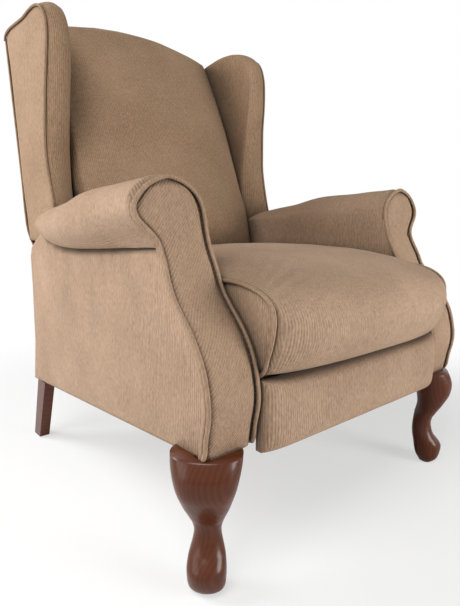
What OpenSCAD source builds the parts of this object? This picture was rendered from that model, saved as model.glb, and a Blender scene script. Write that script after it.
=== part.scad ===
// Wingback push-back recliner on cabriole legs.
// The outer body (arms, legs, base plates) stands on the floor. The back with its two wings
// hinges on the body at arm height. Its foot pushes the seat forward, and two pairs of
// parallel links under the seat then swing the leg-rest board out and up.
// Left and right are those of the person sitting in the chair. Front is -Y, up is +Z.
// Places are given as [back from the front corner of the body, up from the floor].

/* [Body] */
// Width of the seat opening between the arms
seat_w = 532; // [500:2:560]
// Height of the body's bottom edge at its front corner
skirt_front_z = 237; // [225:1:250]
// Height of the body's bottom edge at its rear corner
skirt_rear_z = 178; // [170:1:190]
// Depth of the body at its bottom edge
body_d = 741; // [725:1:755]
// Height of the body's rear corner, where the wing starts
body_rear_top_z = 511; // [505:1:518]
// How far the rear edge leans in from bottom to top
body_rear_lean = 30; // [20:1:34]
// Reach of the seat's nose ahead of the front corner
nose_reach = 88; // [80:1:96]
// How far the outside back's foot stands behind the body's rear bottom edge
outside_foot_out = 27.17; // [24:0.01:30]

/* [Arms] */
// Width of one arm between its two faces
arm_w = 98; // [94:1:104]
// Height of the scroll's centre
scroll_z = 594; // [585:1:605]
// Radius of the scroll on the arm front
scroll_r = 67; // [64:1:70]
// How far the roll's padding stands proud of the scroll
roll_puff = 5; // [3:0.5:6]
// How far the scroll sits behind the body's front corner
arm_lean = 128; // [118:1:136]
// Thickness of a padded outer side panel
side_panel_t = 12; // [9:0.5:14]
// Thickness of a padded inner arm panel
inner_panel_t = 10; // [8:0.5:12]
// Thickness of the padded arm front
front_panel_t = 12; // [10:0.5:14]
// Thickness of the wooden arm board under the roll
arm_board_t = 18; // [15:1:20]

/* [Seat] */
// Height of the cushion's underside
cushion_z = 346; // [343:0.5:350]
// Thickness of the seat cushion at its crown
cushion_t = 192; // [180:1:200]
// Room between the seat cushion and each arm
cushion_side_gap = 9; // [7:0.5:14]
// Room between the seat cushion and the foot of the back frame
cushion_rear_gap = 47; // [44:0.5:60]
// Section height of the wooden seat rails
seat_rail_h = 33; // [28:0.5:35]
// Section depth of the wooden seat rails
seat_rail_t = 24; // [20:0.5:26]
// Thickness of the decking over the springs
deck_t = 3.6; // [3:0.1:4]
// Wire thickness of the zigzag springs
spring_wire = 3.5; // [3:0.1:4]
// Half width of a zigzag spring
spring_half_w = 24; // [18:1:28]
// Length of one full zigzag
spring_pitch = 44; // [36:1:52]

/* [Back] */
// Lean of the back frame from upright, in degrees
back_rake = 18.6; // [17.5:0.1:19]
// Lean of the outside back from upright, in degrees
outside_rake = 8.5; // [8:0.1:9]
// Height of the arched top of the back
back_top_z = 1117; // [1100:1:1125]
// Drop of the arch from its middle to the wings
arch_drop = 47; // [40:1:55]
// How much wider the inside back is than the seat opening
back_spread = 8; // [4:0.5:12]
// Thickness of the inside back's padding at its fullest
back_pad_t = 87; // [80:0.5:90]
// Swell of the inside back at its middle
back_swell = 26; // [18:1:30]
// Thickness of the outside back panel
outside_t = 8; // [6:0.5:9]

/* [Wings] */
// Thickness of one wing with its padding
wing_t = 73; // [68:0.5:75]
// Thickness of the wooden wing board
wing_board_t = 12; // [10:0.5:14]
// Height of the wing's peak
wing_top_z = 1091; // [1075:1:1096]
// Height of the wing's lower front corner
wing_foot_z = 586; // [584:0.5:592]

/* [Legs] */
// Thickness of the nylon floor glides
glide_t = 3; // [2:0.5:4]
// Radius of the floor glides
glide_r = 13; // [10:0.5:15]
// Width of a rear leg
rear_leg_w = 26; // [24:0.5:28]
// Depth of a rear leg at its top
rear_leg_top_d = 48; // [44:1:50]
// Depth of a rear leg at the floor
rear_leg_foot_d = 39; // [34:1:42]
// How far a rear leg rakes back
rear_leg_rake = 85; // [70:1:90]

/* [Reclining linkage] */
// Greatest recline of the back, in degrees
recline_max = 28; // [20:0.5:30]
// Tilt of the seat at full recline, in degrees
seat_tilt = 2.5; // [1:0.1:3]
// Swing of the leg-rest links, in degrees
link_swing = 92; // [85:0.5:94]
// Length of the leg-rest links between pivots
link_l = 155; // [145:1:160]
// Arm of the leg-rest board's control rod
control_arm = 44; // [42:0.5:46]
// Arm of the drive pin beyond the rear link's pivot
drive_arm = 36; // [34:0.5:38]
// Thickness of the steel link plates
link_t = 3; // [2.5:0.1:3.2]
// Width of the steel link plates
link_w = 22; // [20:0.5:23]
// Thickness of the steel side plates
plate_t = 4; // [3:0.1:4]
// Radius of the pivot pins
pin_r = 5; // [4.5:0.1:5.5]
// Running clearance round a pin
pin_fit = 0.08; // [0.05:0.01:0.1]
// Room between the leg-rest board and each arm
board_side_gap = 7; // [5:0.5:12]
// Room between the folded leg-rest board and the cushion above it
board_gap = 2; // [1:0.5:6]
// Thickness of the leg-rest board's wood
board_t = 12; // [10:0.5:14]
// Thickness of the leg-rest board's padding
board_pad_t = 27; // [22:0.5:29]

/* [Hidden] */
$fn = 48;

fabric_colour = [0.66, 0.55, 0.44];
wood_colour = [0.78, 0.64, 0.44];
leg_colour = [0.27, 0.1, 0.05];
steel_colour = [0.55, 0.56, 0.58];
dark_steel_colour = [0.25, 0.25, 0.27];
felt_colour = [0.2, 0.2, 0.2];
nylon_colour = [0.85, 0.84, 0.8];

// Clearances that the fits share
touch_gap = 0.3;
slide_gap = 0.5;
slot_fit = 0.4;
cut_over = 5;
facet_eps = 0.01;

// The body's main planes
seat_half = seat_w / 2;
body_half = seat_half + arm_w;
scroll_x = seat_half + scroll_r;
roll_r = scroll_r + roll_puff;
function skirt_z(y) = skirt_front_z + (skirt_rear_z - skirt_front_z) * y / body_d;
// The body's rear edge: shares of its lean and of its height, or of its lean again at the corner
rear_edge_shares = [[0.73, 0.31], [1.4, 0.7]];
rear_edge_low = [body_d - rear_edge_shares[0][0] * body_rear_lean,
    skirt_rear_z + rear_edge_shares[0][1] * (body_rear_top_z - skirt_rear_z)];
rear_edge_top = [body_d - body_rear_lean, body_rear_top_z];
rear_edge_corner = [body_d, body_rear_top_z]
    + body_rear_lean * [-rear_edge_shares[1][0], rear_edge_shares[1][1]];

// The outside back, and the back frame that meets it at the top
outside_foot_up = 25;
crest_gap = 0.8;
outside_foot = [body_d + outside_foot_out, body_rear_top_z + outside_foot_up];
outside_drop = 71;
outside_bottom_z = body_rear_top_z - outside_drop;
function outside_y(z) = outside_foot[0] + (z - outside_foot[1]) * tan(outside_rake);
function outside_inner_y(z) = outside_y(z) - outside_t / cos(outside_rake);
back_reach = outside_y(back_top_z);
front_setback = (back_reach - nose_reach) / 2;
back_foot_up = 19;
back_foot_z = cushion_z + back_foot_up;
back_foot = [
    outside_inner_y(back_top_z) - crest_gap - (back_top_z - back_foot_z) * tan(back_rake), back_foot_z
];
back_up = [sin(back_rake), cos(back_rake)];
back_out = [cos(back_rake), -sin(back_rake)];
function on_back(depth, height) = back_foot + back_out * depth + back_up * height;
function back_front_y(z) = back_foot[0] + (z - back_foot[1]) * tan(back_rake);
cushion_w = 2 * (seat_half - cushion_side_gap);
cushion_l = back_foot[0] - cushion_rear_gap + nose_reach;

// The folded leg-rest board, in front of the seat frame
board_drop = 3;
board_rear_y = 0;
board_bottom_z = skirt_front_z - side_panel_t - board_drop;
board_w = 2 * (seat_half - board_side_gap);
board_h = cushion_z - board_gap - board_bottom_z;

// Pivots, all as [back, up]. The rear ones keep their place from the body's rear corner,
// the seat's from the cushion's underside, the board's from its own lower edge
back_pivot_in = [41, 21];
seat_pivot_in = [61, 21];
front_link_at = [62, -31];
rear_link_at = [190, -54];
glide_pin_at = [300, -54];
board_pivot_at = [22, 48];
back_pivot = [body_d, body_rear_top_z] - back_pivot_in;
seat_pivot = [body_d, cushion_z] - seat_pivot_in;
front_link_pivot = [0, cushion_z] + front_link_at;
rear_link_pivot = [0, cushion_z] + rear_link_at;
glide_pin = [0, cushion_z] + glide_pin_at;
board_pivot = [0, board_bottom_z] + board_pivot_at;
link_rest_angle = link_swing / 2;
link_reach = [link_l * sin(link_rest_angle), -link_l * cos(link_rest_angle)];
carrier_rear = rear_link_pivot + link_reach;
carrier_front = front_link_pivot + link_reach;
control_rest_angle = 75;
rod_w_share = 0.8;
rod_w = link_w * rod_w_share;
control_reach = [-control_arm * cos(control_rest_angle), control_arm * sin(control_rest_angle)];
rod_front = board_pivot + control_reach;
rod_rear = carrier_front + control_reach;
drive_pin = rear_link_pivot - link_reach * drive_arm / link_l;

// Planes of the steel parts, from the arm inward
plate_gap = 2;
link_gap = 3;
bracket_gap = 5;
seat_plate_gap = 3.5;
rod_gap = 2.5;
base_plate_x = seat_half - plate_gap - plate_t;
back_bracket_x = base_plate_x - bracket_gap - plate_t;
link_x = base_plate_x - link_gap - link_t;
seat_plate_x = link_x - seat_plate_gap - plate_t;
rod_x = seat_plate_x - rod_gap - link_t;
carrier_x = rod_x - link_gap - link_t;
footrest_bracket_x = carrier_x - link_gap - link_t;
mechanism_rail_x = base_plate_x + plate_t;
mechanism_rail_t = 20;
mechanism_rail_h = 46;
pin_head_r = 8;
pin_head_t = 2;
pin_step = 1;
back_pin_r = pin_r + pin_step;

// Wood sections that several pieces share
post_w = 40;
post_d = 42;
post_t = 28;
corner_block_h = 44;
corner_block_d = 92;
corner_block_top = skirt_front_z + corner_block_h;
rear_post_in = 29;
rear_post_d = 44;
rear_post_y = [body_d - rear_post_in - rear_post_d, body_d - rear_post_in];
rear_leg_top_y = rear_post_y[0] + side_panel_t / 3;
rear_leg_top_z = skirt_z(rear_leg_top_y + rear_leg_top_d);
arm_board_top = scroll_z - scroll_r + side_panel_t / 2;
leg_bolt_r = 4;
leg_bolt_grip = 30;
front_leg_bolt_in = 34;
front_bolt_at = [body_half - front_leg_bolt_in, front_leg_bolt_in];
rear_bolt_in = [9, 12];
rear_bolt_at = [body_half - side_panel_t - touch_gap - rear_bolt_in[0], rear_post_y[1] - rear_bolt_in[1]];

// The wings stand on the arms, outside the inside back
wing_side_gap = 2;
back_w = seat_w + back_spread;
wing_gap = back_w + 2 * wing_side_gap;
wing_span = wing_gap + 2 * wing_t;
wing_pad_share = 0.4;
wing_board_x = wing_gap / 2 + wing_t * wing_pad_share + touch_gap;
wing_foot_in = 151;
wing_foot_y = body_d - wing_foot_in;
wing_depth = outside_foot[0] - wing_foot_y;
// Front edge and top of a wing in side view, from the foot to the rear of the top, in shares of
// its depth and height: the inner edge of its front band, then the outer one
wing_inner_shares = [
    [0.247, 0], [0.247, 0.107], [0.264, 0.226], [0.247, 0.356], [0.191, 0.483], [0.123, 0.622],
    [0.09, 0.741], [0.095, 0.82], [0.135, 0.879], [0.236, 0.927], [0.415, 0.972], [0.64, 0.994],
    [0.842, 1], [1.066, 0.992], [1.291, 0.974]
];
wing_outer_shares = [
    [0, 0], [0.045, 0.099], [0.14, 0.226], [0.18, 0.356], [0.168, 0.483], [0.129, 0.622],
    [0.101, 0.741], [0.107, 0.82], [0.157, 0.883], [0.269, 0.931], [0.46, 0.95], [0.64, 0.947],
    [0.831, 0.933], [1.066, 0.927], [1.263, 0.921]
];
// The upper limit of what the body's sides may fill at the rear, under the wing
wing_seat = [[wing_foot_y, wing_foot_z], [outside_foot[0] - outside_t, outside_foot[1]]];

// A point turned backward about a centre, as the back reclines
function turned(p, c, a) =
    let (d = p - c) c + [d[0] * cos(a) + d[1] * sin(a), d[1] * cos(a) - d[0] * sin(a)];
// Where a point of the seat is at share t of the travel
function seat_at(p, t) =
    let (s = turned(seat_pivot, back_pivot, recline_max * t))
    s + turned(p - seat_pivot, [0, 0], seat_tilt * t);
function drive_at(t) = seat_at(turned(drive_pin, rear_link_pivot, link_swing * t), t);

// A smooth curve through the points of a list, with n steps between neighbours
function _spline_point(a, b, c, d, t) =
    0.5 * (2 * b + (c - a) * t + (2 * a - 5 * b + 4 * c - d) * t * t
    + (3 * b - a - 3 * c + d) * t * t * t);
function smooth(p, n) =
    let (m = len(p) - 1)
    concat([for (i = [0:m - 1]) for (k = [0:n - 1])
        _spline_point(p[max(0, i - 1)], p[i], p[i + 1], p[min(m, i + 2)], k / n)], [p[m]]);
function smooth_ring(p, n) =
    let (m = len(p))
    [for (i = [0:m - 1]) for (k = [0:n - 1])
        _spline_point(p[(i + m - 1) % m], p[i], p[(i + 1) % m], p[(i + 2) % m], k / n)];
function unit(v) = v / max(norm(v), facet_eps);
function left_normal(v) = [-v[1], v[0]];
// An anticlockwise outline drawn in by d
function inset(p, d) =
    let (m = len(p))
    [for (i = [0:m - 1])
        let (a = left_normal(unit(p[i] - p[(i + m - 1) % m])),
             b = left_normal(unit(p[(i + 1) % m] - p[i])),
             s = unit(a + b))
        p[i] + s * d / max(0.6, s * a)];
function reversed(p) = [for (i = [len(p) - 1:-1:0]) p[i]];

// A closed skin through rings of equal count, each a list of 3-D points
module skin(rings) {
    n = len(rings[0]);
    m = len(rings);
    polyhedron(
        points = [for (r = rings) for (p = r) p],
        faces = concat(
            [[for (i = [n - 1:-1:0]) i]],
            [for (j = [0:m - 2]) for (i = [0:n - 1])
                [j * n + i, j * n + (i + 1) % n, (j + 1) * n + (i + 1) % n, (j + 1) * n + i]],
            [[for (i = [0:n - 1]) (m - 1) * n + i]]),
        convexity = 6);
}
// A slab of padding over a side-view outline, its edges rounded by r0 and r1
module padded_slab(outline, x0, t, r0, r1) {
    steps = 3;
    levels = concat(
        [for (k = [0:steps]) [r0 * (1 - cos(90 * k / steps)), r0 * (1 - sin(90 * k / steps))]],
        [for (k = [steps:-1:0])
            [t - r1 * (1 - cos(90 * k / steps)), r1 * (1 - sin(90 * k / steps))]]);
    skin([for (l = levels) [for (p = inset(outline, l[1])) [x0 + l[0], p[0], p[1]]]]);
}

// The chair's own frame has its origin at the middle of the floor under it
module placed() {
    translate([0, -front_setback, 0]) children();
}
// Drawn for the left side, and mirrored for the right
module sided(side) {
    placed() mirror([side > 0 ? 0 : 1, 0, 0]) children();
}
module both_sides() {
    sided(1) children();
    sided(-1) children();
}
// A flat piece drawn in side view, t thick from x0 outward
module sheet_at(x0, t) {
    translate([x0, 0, 0]) rotate([90, 0, 90]) linear_extrude(t, convexity = 6) children();
}
// A strap of width w along the points p, with round ends
function strap(p, w) =
    let (n = len(p) - 1, r = w / 2,
         first = p[1] - p[0], last = p[n] - p[n - 1],
         a0 = atan2(first[1], first[0]), a1 = atan2(last[1], last[0]),
         side = [for (i = [0:n])
            let (a = left_normal(unit(p[max(1, i)] - p[max(0, i - 1)])),
                 b = left_normal(unit(p[min(n, i + 1)] - p[min(n - 1, i)])),
                 s = unit(a + b)) s * r / (s * a)])
    concat(
        [for (i = [0:n]) p[i] - side[i]],
        [for (f = [-75:15:75]) p[n] + r * [cos(a1 + f), sin(a1 + f)]],
        [for (i = [n:-1:0]) p[i] + side[i]],
        [for (f = [105:15:255]) p[0] + r * [cos(a0 + f), sin(a0 + f)]]);
// A plate with the corners p, anticlockwise, rounded outward by r
function rounded_plate(p, r) =
    let (m = len(p))
    [for (i = [0:m - 1])
        let (a = p[i] - p[(i + m - 1) % m], b = p[(i + 1) % m] - p[i],
             start = atan2(a[1], a[0]) - 90,
             sweep = (atan2(b[1], b[0]) - atan2(a[1], a[0]) + 360) % 360)
        for (k = [0:6]) p[i] + r * [cos(start + sweep * k / 6), sin(start + sweep * k / 6)]];
module hole_2d(p, r) {
    translate(p) circle(r);
}
module rod_x_at(p, x0, x1, r) {
    translate([x0, p[0], p[1]]) rotate([0, 90, 0]) cylinder(h = x1 - x0, r = r);
}
module block_at(x, y, z) {
    translate([x[0], y[0], z[0]]) cube([x[1] - x[0], y[1] - y[0], z[1] - z[0]]);
}

// Side view of the arm's front edge, from the skirt to the top of the scroll:
// shares of its height up to the scroll's centre, and of its lean
arm_front_shares = [
    [0, 0], [0.11, -0.04], [0.21, -0.094], [0.29, -0.08], [0.41, 0.016], [0.515, 0.195],
    [0.63, 0.484], [0.69, 0.61], [0.77, 0.72], [0.885, 0.883], [1.02, 0.977], [1.2, 1.016]
];
arm_front_knots = [for (s = arm_front_shares)
    [s[1] * arm_lean, skirt_front_z + s[0] * (scroll_z - skirt_front_z)]];
arm_front_curve = smooth(arm_front_knots, 2);
function curve_shifted(d, z_max) = [for (p = arm_front_curve) if (p[1] <= z_max) p + [d, 0]];

// Front view of the arm front, in shares of the scroll's radius about its centre
neck_shares = [[0.975, 0.18], [0.9, -0.03], [0.78, -0.13], [0.62, -0.3], [0.48, -0.48], [0.43, -0.7]];

// The stuffed roll from front to rear: share of its length, then its reach out, up and down and
// the rise of its widest line, as shares of the roll's radius
roll_shares = [
    [0, 0.965, 0.87, 0.79, 0.083], [0.036, 0.986, 0.889, 0.79, 0.083], [0.32, 0.986, 0.806, 0.86, 0.042],
    [0.514, 0.986, 0.833, 0.85, -0.056], [0.668, 0.972, 0.778, 0.71, -0.222],
    [0.787, 0.944, 0.694, 0.64, -0.264], [0.883, 0.85, 0.583, 0.535, -0.25],
    [0.943, 0.75, 0.472, 0.444, -0.222], [0.978, 0.64, 0.347, 0.333, -0.194], [1, 0.44, 0.14, 0.13, -0.125]
];
roll_front_in = 15;
roll_rear_out = 29;
roll_start_y = arm_lean - roll_front_in;
roll_len = wing_foot_y + roll_rear_out - roll_start_y;
roll_fine = smooth(roll_shares, 2);
module roll_body() {
    sides = 36;
    skin([for (s = roll_fine) [for (i = [0:sides - 1])
        let (a = -360 * i / sides)
        [scroll_x + s[1] * roll_r * cos(a), roll_start_y + s[0] * roll_len,
            scroll_z + s[4] * roll_r + (a > -180 && a < 0 ? s[3] : s[2]) * roll_r * sin(a)]]]);
}
// Side-view line under the roll at a distance from its middle, clear of it by gap
function under_roll(off, gap) = [for (s = roll_fine)
    [roll_start_y + s[0] * roll_len,
        scroll_z + s[4] * roll_r - s[3] * roll_r * sqrt(max(0, 1 - pow(off / (s[1] * roll_r), 2))) - gap]];

// Outer side of the body: board, thin foam and cloth in one panel
module outer_side_panel(side) {
    front = curve_shifted(front_panel_t + touch_gap, scroll_z - scroll_r * 0.76);
    color(fabric_colour) sided(side)
        sheet_at(body_half - side_panel_t, side_panel_t)
            polygon(concat(
                [[front_panel_t, skirt_front_z], [body_d, skirt_rear_z], rear_edge_low, rear_edge_top,
                 rear_edge_corner],
                reversed([for (p = under_roll(body_half - side_panel_t - scroll_x, slide_gap))
                    if (p[0] < wing_foot_y + roll_rear_out * 0.7 && p[0] > front[len(front) - 1][0] + slide_gap) p]),
                reversed(front)));
}

// Padded inner side of the arm, beside the seat
module inner_arm_panel(side) {
    floor_gap = mechanism_rail_h + 3 * touch_gap;
    rear_y = wing_foot_y + wing_inner_shares[0][0] * wing_depth - roll_puff;
    foot_y = arm_lean / 4;
    top = under_roll(scroll_x - seat_half - inner_panel_t, touch_gap);
    front = curve_shifted(front_panel_t + touch_gap, top[0][1]);
    color(fabric_colour) sided(side)
        sheet_at(seat_half, inner_panel_t)
            polygon(concat(
                [[foot_y, skirt_z(foot_y) + floor_gap], [rear_y, skirt_z(rear_y) + floor_gap],
                 [rear_y, top[len(top) - 1][1]]],
                reversed([for (p = top) if (p[0] < rear_y && p[0] > front[len(front) - 1][0] + slide_gap) p]),
                reversed([for (p = front)
                    if (p[1] > skirt_z(foot_y) + floor_gap) [max(p[0], foot_y), p[1]]])));
}

// Rolled top of the arm, stuffed over the arm board
module arm_roll(side) {
    color(fabric_colour) sided(side) difference() {
        roll_body();
        sheet_at(seat_half - arm_w, 3 * arm_w)
            polygon(concat([[0, skirt_front_z]], curve_shifted(front_panel_t + touch_gap, back_top_z),
                [[2 * arm_lean, scroll_z + roll_r * 1.1], [-arm_w, scroll_z + roll_r * 1.1],
                 [-arm_w, skirt_front_z]]));
        block_at([0, body_half - side_panel_t], [0, back_reach], [0, arm_board_top + touch_gap]);
        linear_extrude(wing_top_z) polygon([
            [wing_span / 2 + slide_gap, wing_foot_y - slide_gap], [wing_span / 2 + slide_gap, back_reach],
            [0, back_reach], [0, wing_foot_y + wing_inner_shares[0][0] * wing_depth - slide_gap],
            [wing_gap / 2, wing_foot_y + wing_inner_shares[0][0] * wing_depth - slide_gap],
            [wing_gap / 2 + wing_t * 0.8, wing_foot_y - slide_gap]]);
    }
}

// The scrolled arm front: a board padded and covered, following the arm's S curve
module arm_front_solid(grow) {
    edge = [for (p = arm_front_curve) p];
    front_outline = concat(
        [[seat_half, skirt_front_z], [body_half, skirt_front_z]],
        [for (s = reversed(neck_shares)) [scroll_x + s[0] * scroll_r, scroll_z + s[1] * scroll_r]],
        [for (a = [12:12:180]) [scroll_x + scroll_r * cos(a), scroll_z + scroll_r * sin(a)]]);
    intersection() {
        translate([0, body_d, 0]) rotate([90, 0, 0]) linear_extrude(2 * body_d, convexity = 4)
            polygon(front_outline);
        sheet_at(seat_half - cut_over, 2 * arm_w)
            polygon(concat(
                [[0, skirt_front_z - 2 * front_panel_t]],
                [[front_panel_t + grow, skirt_front_z - 2 * front_panel_t]],
                curve_shifted(front_panel_t + grow, scroll_z + 2 * scroll_r),
                reversed(edge)));
    }
}
module arm_front(side) {
    color(fabric_colour) sided(side) arm_front_solid(0);
}

// Wood inside the arms
module arm_boards() {
    inner = seat_half + inner_panel_t + touch_gap;
    outer = body_half - side_panel_t - touch_gap;
    color(wood_colour) both_sides()
        block_at([inner, outer], [arm_lean + post_d, rear_post_y[0] - post_d],
            [arm_board_top - arm_board_t, arm_board_top]);
}
module front_posts() {
    top_z = arm_board_top - touch_gap;
    color(wood_colour) both_sides() sheet_at(seat_half + inner_panel_t + touch_gap, post_w)
        polygon(concat(
            [[front_panel_t + touch_gap, corner_block_top + touch_gap]],
            [[front_panel_t + touch_gap + post_d, corner_block_top + touch_gap]],
            [for (p = curve_shifted(front_panel_t + touch_gap + post_d, top_z - arm_board_t))
                if (p[1] > corner_block_top + post_d / 2) p],
            reversed([for (p = curve_shifted(front_panel_t + touch_gap, top_z - arm_board_t))
                if (p[1] > corner_block_top + post_d / 2) p])));
}
module rear_posts() {
    outer = body_half - side_panel_t - touch_gap;
    color(wood_colour) both_sides() difference() {
        block_at([outer - post_w, outer], rear_post_y, [rear_leg_top_z, back_pivot[1] + pin_head_r]);
        translate([rear_bolt_at[0], rear_bolt_at[1], rear_leg_top_z - cut_over])
            cylinder(h = corner_block_h + 2 * cut_over, r = leg_bolt_r + pin_fit);
    }
}
module bottom_side_rails() {
    y0 = front_panel_t + touch_gap + corner_block_d + touch_gap;
    y1 = rear_post_y[0] - touch_gap;
    outer = body_half - side_panel_t - touch_gap;
    color(wood_colour) both_sides() sheet_at(outer - mechanism_rail_t, mechanism_rail_t)
        polygon([[y0, skirt_z(y0) + touch_gap], [y1, skirt_z(y1) + touch_gap],
            [y1, skirt_z(y1) + mechanism_rail_h], [y0, skirt_z(y0) + mechanism_rail_h]]);
}
module mechanism_rails() {
    y0 = front_panel_t + touch_gap + corner_block_d + touch_gap;
    y1 = rear_post_y[1];
    color(wood_colour) both_sides() sheet_at(mechanism_rail_x, mechanism_rail_t)
        polygon([[y0, skirt_z(y0) + touch_gap], [y1, skirt_z(y1) + touch_gap],
            [y1, skirt_z(y1) + mechanism_rail_h], [y0, skirt_z(y0) + mechanism_rail_h]]);
}
pivot_block_reach = [60, 22];
pivot_block_z = [back_pivot[1] - pivot_block_reach[0], back_pivot[1] + pivot_block_reach[1]];
module pivot_blocks() {
    inner = mechanism_rail_x;
    outer = body_half - side_panel_t - 2 * touch_gap - post_w;
    color(wood_colour) both_sides() difference() {
        block_at([inner, outer], rear_post_y, pivot_block_z);
        rod_x_at(back_pivot, inner - cut_over, outer + cut_over, tension_pocket_r);
    }
}
middle_rail_share = 0.4656;
middle_rail_w = 50;
middle_rail_y = [middle_rail_share * body_d, middle_rail_share * body_d + middle_rail_w];
cross_rail_h = 36;
module middle_cross_rail() {
    z0 = skirt_z(middle_rail_y[1]) + touch_gap;
    color(wood_colour) placed()
        block_at([-base_plate_x, base_plate_x], middle_rail_y, [z0, z0 + cross_rail_h]);
}
module rear_cross_rail() {
    z0 = skirt_rear_z + side_panel_t;
    color(wood_colour) placed()
        block_at([-base_plate_x, base_plate_x], [rear_post_y[1] - seat_rail_t, rear_post_y[1]],
            [z0, z0 + cross_rail_h]);
}
module corner_blocks() {
    inner = seat_half + inner_panel_t + touch_gap;
    outer = body_half - side_panel_t - touch_gap;
    color(wood_colour) both_sides() difference() {
        block_at([inner, outer],
            [front_panel_t + touch_gap, front_panel_t + touch_gap + corner_block_d],
            [skirt_front_z, corner_block_top]);
        translate([front_bolt_at[0], front_bolt_at[1], skirt_front_z - cut_over])
            cylinder(h = corner_block_h + 2 * cut_over, r = leg_bolt_r + pin_fit);
    }
}
rear_panel_drop = 32;
rear_panel_top_z = outside_bottom_z - rear_panel_drop;
module rear_lower_panel() {
    lower = rear_edge_low;
    top = [body_d - 0.97 * body_rear_lean, rear_panel_top_z];
    in = [-inner_panel_t, 0];
    half = body_half - side_panel_t - touch_gap;
    color(fabric_colour) placed() difference() {
        sheet_at(-half, 2 * half)
            polygon([[body_d, skirt_rear_z], lower, top, top + in / 2, lower + in / 2,
                [body_d, skirt_rear_z] + in]);
        block_at([-body_half, body_half], [0, rear_post_y[1] + touch_gap], [0, back_top_z]);
    }
}

// Cabriole leg: rounded sections strung along a line that leans out on the diagonal.
// Each row: height share, then the outer face, the inner face and the width as shares of leg_knee
leg_knee = 116;
leg_shares = [
    [0.000, -0.135, -0.39, 0.40], [0.02, -0.06, -0.41, 0.47], [0.05, -0.01, -0.45, 0.53],
    [0.12, 0.034, -0.49, 0.56], [0.18, 0.034, -0.51, 0.56], [0.24, -0.05, -0.535, 0.53],
    [0.28, -0.12, -0.55, 0.49], [0.35, -0.175, -0.56, 0.42], [0.42, -0.195, -0.555, 0.39],
    [0.50, -0.16, -0.53, 0.47], [0.56, -0.1, -0.49, 0.56], [0.61, -0.04, -0.47, 0.64],
    [0.67, 0.03, -0.48, 0.72], [0.73, 0.095, -0.505, 0.8], [0.79, 0.13, -0.55, 0.87],
    [0.87, 0.135, -0.6, 0.94], [0.94, 0.09, -0.64, 0.985], [1.0, 0.03, -0.66, 1.0]
];
module front_leg(side) {
    sides = 24;
    fine = smooth(leg_shares, 2);
    leg_h = skirt_front_z - glide_t;
    rings = [for (s = fine)
        let (z = glide_t + s[0] * leg_h,
             centre = (s[1] + s[2]) / 2 * leg_knee,
             deep = (s[1] - s[2]) / 2 * leg_knee,
             wide = s[3] / 2 * leg_knee)
        [for (i = [0:sides - 1])
            let (a = 360 * i / sides, u = centre + deep * cos(a), v = wide * sin(a))
            [body_half + (u - v) * sin(45), -(u + v) * sin(45), z]]];
    color(leg_colour) sided(side) difference() {
        skin([for (r = rings) reversed(r)]);
        sheet_at(body_half - side_panel_t - touch_gap, 2 * side_panel_t)
            polygon([[0, skirt_front_z], [body_d, skirt_rear_z], [body_d, back_top_z], [0, back_top_z]]);
        translate([front_bolt_at[0], front_bolt_at[1], skirt_front_z - leg_bolt_grip])
            cylinder(h = leg_bolt_grip + cut_over, r = leg_bolt_r + pin_fit);
    }
}
// Rear leg: square, tapered and raked back
module rear_leg(side) {
    outer_top = body_half - side_panel_t / 3;
    outer_foot = outer_top - side_panel_t / 2;
    top_y = rear_leg_top_y;
    foot_y = top_y + rear_leg_rake;
    function rect(x1, y0, d, z) = [
        [x1 - rear_leg_w, y0, z], [x1, y0, z], [x1, y0 + d, z], [x1 - rear_leg_w, y0 + d, z]];
    color(leg_colour) sided(side) difference() {
        skin([rect(outer_foot, foot_y, rear_leg_foot_d, glide_t),
            rect(outer_top, top_y, rear_leg_top_d, rear_leg_top_z)]);
        translate([rear_bolt_at[0], rear_bolt_at[1], rear_leg_top_z - leg_bolt_grip])
            cylinder(h = leg_bolt_grip + cut_over, r = leg_bolt_r + pin_fit);
    }
}
module leg_bolts() {
    head_t = leg_bolt_r * 1.2;
    color(steel_colour) both_sides() {
        translate([front_bolt_at[0], front_bolt_at[1], skirt_front_z - leg_bolt_grip + cut_over]) {
            cylinder(h = leg_bolt_grip + corner_block_h - cut_over, r = leg_bolt_r);
            translate([0, 0, leg_bolt_grip + corner_block_h - cut_over])
                cylinder(h = head_t, r = leg_bolt_r * 2, $fn = 6);
        }
        translate([rear_bolt_at[0], rear_bolt_at[1], rear_leg_top_z - leg_bolt_grip + cut_over])
            cylinder(h = leg_bolt_grip + corner_block_h - cut_over, r = leg_bolt_r);
    }
}
front_glide_at = [body_half - 0.262 * leg_knee * sin(45), 0.262 * leg_knee * sin(45)];
module floor_glides() {
    foot_y = rear_leg_top_y + rear_leg_rake + rear_leg_foot_d / 2;
    foot_x = body_half - side_panel_t * 5 / 6 - rear_leg_w / 2;
    rear_glide_r = rear_leg_w / 2 - glide_t / 3;
    color(nylon_colour) both_sides() {
        translate([front_glide_at[0], front_glide_at[1], 0]) cylinder(h = glide_t, r = glide_r);
        translate([foot_x, foot_y, 0]) cylinder(h = glide_t, r = rear_glide_r);
    }
}

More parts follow.
